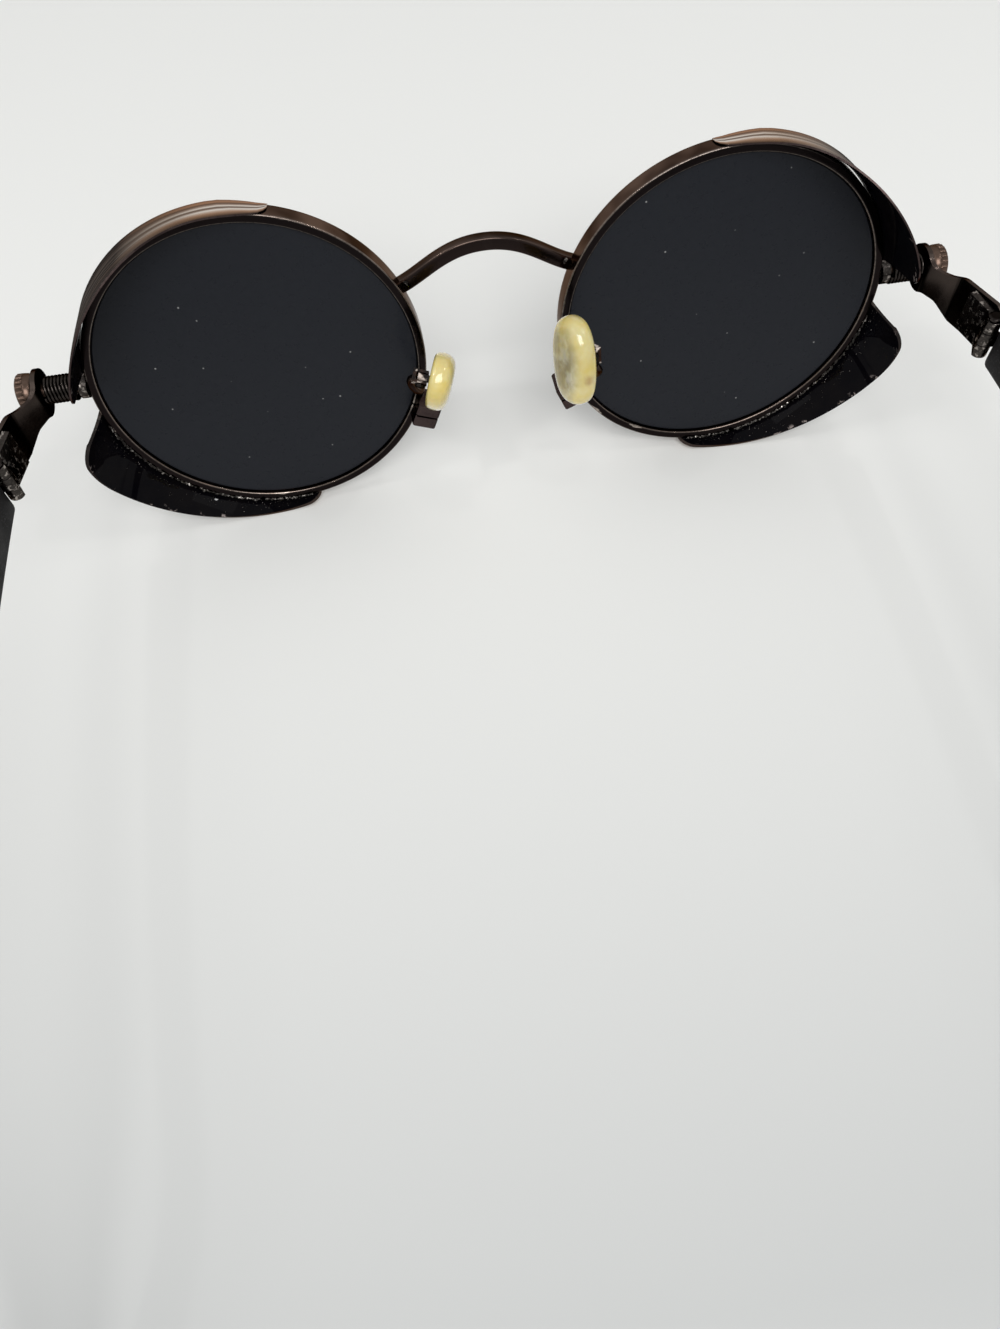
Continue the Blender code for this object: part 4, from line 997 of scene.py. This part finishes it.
def build_coil(side, word):
    """The spring between lug and plate."""
    start = lug_end + fit + spring_wire / 2
    end = plate_inner - fit - spring_wire / 2
    steps = spring_turns * steps_a_turn
    curve = bpy.data.curves.new(f"spring_{word}", "CURVE")
    curve.dimensions = "3D"
    curve.bevel_depth = spring_wire / 2
    curve.bevel_resolution = 4
    curve.use_fill_caps = True
    spline = curve.splines.new("POLY")
    spline.points.add(steps)
    for step in range(steps + 1):
        share = step / steps
        turn = 2 * pi * spring_turns * share
        point = Vector((side * (start + (end - start) * share), spring_radius * cos(turn),
                        side * spring_radius * sin(turn)))
        spline.points[step].co = (*(rod[word] @ point), 1)
    curve.materials.append(dark_steel)
    piece = bpy.data.objects.new(f"spring_{word}", curve)
    bpy.context.scene.collection.objects.link(piece)
    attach(piece, "front")
    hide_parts(f"coil_spring_{word}")
    print(piece.name, "has", spring_turns, "turns")


for side, word in SIDES:
    build_coil(side, word)
    refined(f"end_lug_{word}", lug_metal, "front", 0.00016)

# %% [markdown]
# ## Plates, hinges and closing blocks
#
# These pieces already have the right shape in the model. What they lack is the small radius
# that stamping and polishing leave on every edge, and a smooth shading over their bends. So
# each one is a refined copy. Its finish paints those edges paler, as wear and as highlights.

# %% Refine the plates, leaves, cores, blocks and boxes
fine_copies = (
    # solid, finish, body, radius of its edges, slot
    ("temple_plate_{}", plate_metal, "front", 0.00018, "brown_gunmetal"),
    ("hinge_front_leaf_{}", leaf_metal, "front", 0.00010, "brown_gunmetal"),
    ("temple_core_{}", leaf_metal, "temple_{}", 0.00010, "brown_gunmetal"),
    ("rim_lock_upper_{}", block_metal, "front", 0.00030, "brown_gunmetal"),
    ("rim_lock_lower_{}", block_metal, "front", 0.00030, "brown_gunmetal"),
    ("pad_box_{}", lacquer.material, "front", 0.00022, "brown_gunmetal"),
    ("pad_insert_{}", lacquer.material, "pad_{}", 0.00008, "dark_steel"),
    ("hinge_screw_{}", dark_steel, "front", 0.00010, "dark_steel"),
    ("pad_screw_{}", dark_steel, "front", 0.00006, "dark_steel"),
    ("rim_lock_screw_{}", dark_steel, "front", 0.00006, "dark_steel"),
)
for side, word in SIDES:
    for node, finish, body, width, slot in fine_copies:
        refined(node.format(word), finish, body.format(word), width)
    refined(f"pad_arm_{word}", bridge_metal, "front", 0.00004,
            crease=60.0)

# %% [markdown]
# ## Temples
#
# A plastic sleeve covers the metal core. It is carried along the temple's own line: straight,
# then down over the ear on an arc, then straight to its rounded tail on the table. Its outline
# stays a rounded box whose two sizes change on the way, also over its rounded nose and tail.

# %% Carry the temple sleeves over the ear
sleeve_front = 0.0016
sleeve_thickness = 0.0028
sleeve_edge = 0.0008
sleeve_gap = 0.0002
straight = 0.0880
bend_radius = 0.0250
tail = 0.0360
splay = radians(3.0)
bow_radius = 0.7000
heights = {"front": 0.0086, "waist": 0.0050, "tail": 0.0062}
drop_angle = radians(36.59)
tail_thinning = 0.6
nose_steps, body_steps, tail_steps = 4, 96, 10


def temple_point(distance):
    """The temple's centre line about its hinge."""
    arc = bend_radius * drop_angle
    on_arc = min(max(distance - straight, 0), arc) / bend_radius
    on_tail = max(distance - straight - arc, 0)
    back = min(distance, straight) + bend_radius * sin(on_arc) + on_tail * cos(drop_angle)
    down = bend_radius * (1 - cos(on_arc)) + on_tail * sin(drop_angle)
    out = sleeve_gap + sleeve_thickness / 2 + distance * sin(splay)
    return Vector((out - distance ** 2 / 2 / bow_radius, back, -down))


def sleeve_height(distance, total):
    """Tall at the hinge, narrow at the bend, fuller at the tail."""
    if distance < straight:
        share = max(distance - sleeve_front, 0) / (straight - sleeve_front)
        return heights["front"] + (heights["waist"] - heights["front"]) * share
    share = (distance - straight) / (total - straight)
    swell = sin(pi / 2 * min(share * 1.25, 1))
    return heights["waist"] + (heights["tail"] - heights["waist"]) * swell


def build_sleeve(side, word):
    """The sleeve with a rounded nose and tail."""
    total = straight + bend_radius * drop_angle + tail
    end = total - heights["tail"] / 2
    distances, sizes = [], []
    for step in range(nose_steps + 1):
        turn = pi / 2 * step / nose_steps
        distances.append(sleeve_front + sleeve_edge * (1 - cos(turn)))
        shrink = sleeve_edge * (1 - sin(turn))
        sizes.append((sleeve_thickness - shrink, heights["front"] - 2 * shrink))
    begin = distances[-1]
    for step in range(1, body_steps + 1):
        distances.append(begin + (end - begin) * step / body_steps)
        sizes.append((sleeve_thickness, sleeve_height(distances[-1], total)))
    for step in range(1, tail_steps):
        turn = pi / 2 * step / tail_steps
        distances.append(end + heights["tail"] / 2 * sin(turn))
        sizes.append((sleeve_thickness * (1 - (1 - cos(turn)) * tail_thinning),
                      heights["tail"] * cos(turn)))
    outlines = [rounded_box(wide, high, min(sleeve_edge, wide / 3, high / 3))
                for wide, high in sizes]
    shape = carry(outlines, frames_along([temple_point(d) for d in distances], X))
    settle(shape, f"sleeve_{word}", sleeve_plastic.material, f"temple_{word}", hinge[word],
           side, [f"temple_sleeve_{word}"], crease=50.0)


for side, word in SIDES:
    build_sleeve(side, word)

# %% [markdown]
# ## Nose pads
#
# Each pad is a small crowned cushion. Its oblong outline is carried through its thickness while
# it shrinks towards the face. The two pads sit differently, because their arms were bent to fit
# a nose, so each side has its own place and lean.

# %% The outline, profile and place of a pad
pad_reach = 0.0029
pad_length = 0.0128
pad_width = 0.0082
pad_back = 0.0016
pad_crown = 0.0018
pad_centre = {1: (0.0091, 0.0100, 0.0004), -1: (0.0101, 0.0132, 0.0032)}
pad_lean = {1: radians(-45.0), -1: radians(15.0)}
pad_turn = radians(-22.0)
length_kept = 0.62
pad_profile = ((0.0, 0.86), (0.03, 0.92), (0.12, 0.975), (0.28, 0.997), (0.45, 1.0),
               (0.60, 0.975), (0.72, 0.93), (0.82, 0.86), (0.90, 0.76), (0.955, 0.62),
               (0.985, 0.45), (1.0, 0.25))


def pad_outline(length, width, count=64):
    """An oblong with full round ends."""
    outline = []
    for step in range(count):
        turn = 2 * pi * step / count
        across = abs(cos(turn)) ** 0.8 * (1 if cos(turn) >= 0 else -1)
        along = abs(sin(turn)) ** 0.9 * (1 if sin(turn) >= 0 else -1)
        outline.append((width / 2 * across, length / 2 * along))
    return outline


def pad_place(side):
    """The pad's axes in the front; a right pad's are drawn left and then mirrored."""
    turn = Matrix.Rotation(pad_lean[side], 4, "X") @ Matrix.Rotation(pad_turn, 4, "Z")
    drawn = Matrix.Translation(Vector(pad_centre[side]) + (turn @ X) * pad_reach) @ turn
    return front @ Matrix.Scale(side, 4, X) @ drawn


# %% [markdown]
# The silicone reads three numbers from the mesh. They are painted on each point: its nearness
# to the rim, which deepens the yellow, the painted shade of the insert behind the middle, and a
# small stain that only the right pad has.

# %% Carry and paint the nose pads
stain_at = Vector((-0.0028, 0.0038, -0.0018))
stain_radius = 0.0010
insert_half = (0.0021, 0.0036)
insert_blur = 1.25
yellow_begins, yellow_band = 0.62, 0.3


def build_pad(side, word):
    """A soft crowned pad."""
    frames, outlines = [], []
    for depth_share, size in pad_profile:
        level = -pad_reach + pad_back - (pad_back + pad_crown) * depth_share
        frames.append(Matrix.Translation((level, 0, 0)) @ along_x)
        outlines.append(pad_outline(pad_length * (1 - (1 - size) * length_kept), pad_width * size))
    shape = carry(outlines, frames)
    near_rim, stain, behind = [], [], []
    for point in shape.verts:
        wide, high = point.co.y, point.co.z
        from_middle = hypot(wide / pad_width, high / pad_length) * 2
        near_rim.append(min(max((from_middle - yellow_begins) / yellow_band, 0), 1))
        from_stain = (point.co - stain_at).length / stain_radius
        stain.append(max(1 - from_stain, 0) if side < 0 else 0)
        from_insert = hypot(wide / insert_half[0], high / insert_half[1])
        behind.append(min(max(insert_blur - from_insert, 0), 1))
    piece = settle(shape, f"cushion_{word}", silicone.material, f"pad_{word}", pad_place(side),
                   stands_for=[f"nose_pad_{word}"], crease=60.0)
    paint(piece, "near_rim", near_rim)
    paint(piece, "stain", stain)
    paint(piece, "behind", behind)


for side, word in SIDES:
    build_pad(side, word)

# %% [markdown]
# ## Table, lights and camera
#
# The table is a plain pale plane. Its colour is a blend along its own y axis that darkens
# towards the viewer: painted shade, where the light falls off.

# %% The table
bpy.ops.mesh.primitive_plane_add(size=6.0)
table = bpy.context.object
table.name = "table"
table_finish = Finish("table", Metallic=0.0, Roughness=0.55, Specular_IOR_Level=0.25)
shade_begins, shade_full = -0.060, 0.060
depth = table_finish.axis(table_finish.object_place(), "Y")
# Painted shade: the table darkens towards the viewer.
painted_falloff = table_finish.between(depth, shade_begins, shade_full) ** 1.2
table_finish.set(Base_Color=table_finish.blend(painted_falloff, (0.855, 0.855, 0.830),
                                               (0.565, 0.572, 0.562)))
table.data.materials.append(table_finish.material)

# %% [markdown]
# One strong, large lamp hangs behind the viewer and lights all that faces the camera, with
# shadows that stay faint. Weak lamps at the left, the right and the front only fill. Two very
# small ones give the sharp glints on the coated surfaces.

# %% The lamps


def soft_lamp(name, location, target, size, watts):
    """A rectangular area lamp that looks at a point."""
    lamp = bpy.data.lights.new(name, "AREA")
    lamp.shape = "RECTANGLE"
    lamp.size, lamp.size_y = size
    lamp.energy = watts
    holder = bpy.data.objects.new(name, lamp)
    holder.location = location
    aim = Vector(target) - Vector(location)
    holder.rotation_euler = aim.to_track_quat("-Z", "Y").to_euler()
    bpy.context.scene.collection.objects.link(holder)
    print(name, "gives", watts, "W")


soft_lamp("lamp_left", (-0.58, 0.0, 0.85), (0, 0, 0), (0.5, 0.5), 0.45)
soft_lamp("lamp_right", (0.58, 0.0, 0.85), (0, 0, 0), (0.5, 0.5), 0.70)
soft_lamp("lamp_front", (0.0, -0.40, 0.90), (0, -0.05, 0.02), (0.7, 0.28), 0.15)
soft_lamp("lamp_back", (0.0, 0.62, 0.85), (0, -0.05, 0.02), (0.7, 0.5), 6.6)
soft_lamp("lamp_small_right", (-0.48, 0.062, 0.721), (0, -0.06, 0.0), (0.030, 0.030), 0.26)
soft_lamp("lamp_small_left", (0.48, 0.062, 0.721), (0, -0.06, 0.0), (0.030, 0.030), 0.26)

# %% [markdown]
# The room has two backgrounds. What the camera sees, directly, in a gloss or through a lens,
# is a pale wall. The light that falls on the glasses comes from another, dimmer one. Light
# Path knows which ray is asking, so its outputs choose between the two.

# %% The room
world = bpy.data.worlds.new("room")
bpy.context.scene.world = world
world.use_nodes = True
room = Network(world.node_tree)
seen = (room.node("LightPath", output="Is Camera Ray")
        + room.node("LightPath", output="Is Glossy Ray")
        + room.node("LightPath", output="Is Transmission Ray"))
light = room.node("Background", None, {"Color": (0.80, 0.81, 0.82), "Strength": 0.60})
wall = room.node("Background", None, {"Color": (0.70, 0.70, 0.69)})
either = room.node("MixShader", None, {0: seen, 1: light, 2: wall})
room.plug(room.tree.nodes["World Output"].inputs["Surface"], either)

# %% [markdown]
# The camera was found from the outlines of both lenses in the photograph, so its matrix is
# given as a whole. It looks down on the glasses from behind, as the owner would.

# %% The camera
photo_width, photo_height = 1000, 1329
camera = bpy.data.cameras.new("camera")
camera.sensor_fit = "VERTICAL"
camera.sensor_height = 36.0
camera.lens = camera.sensor_height * photo_width / photo_height
camera.clip_start = 0.001
viewer = bpy.data.objects.new("camera", camera)
viewer.matrix_world = Matrix((
    (-0.986316, -0.157390, 0.049083, 0.014300),
    (0.161493, -0.862410, 0.479759, 0.046754),
    (-0.033180, 0.481121, 0.876026, 0.137244),
    (0, 0, 0, 1),
))
bpy.context.scene.collection.objects.link(viewer)
bpy.context.scene.camera = viewer
bpy.context.scene.view_settings.view_transform = "Standard"
print("camera has a", round(camera.lens, 2), "mm lens")
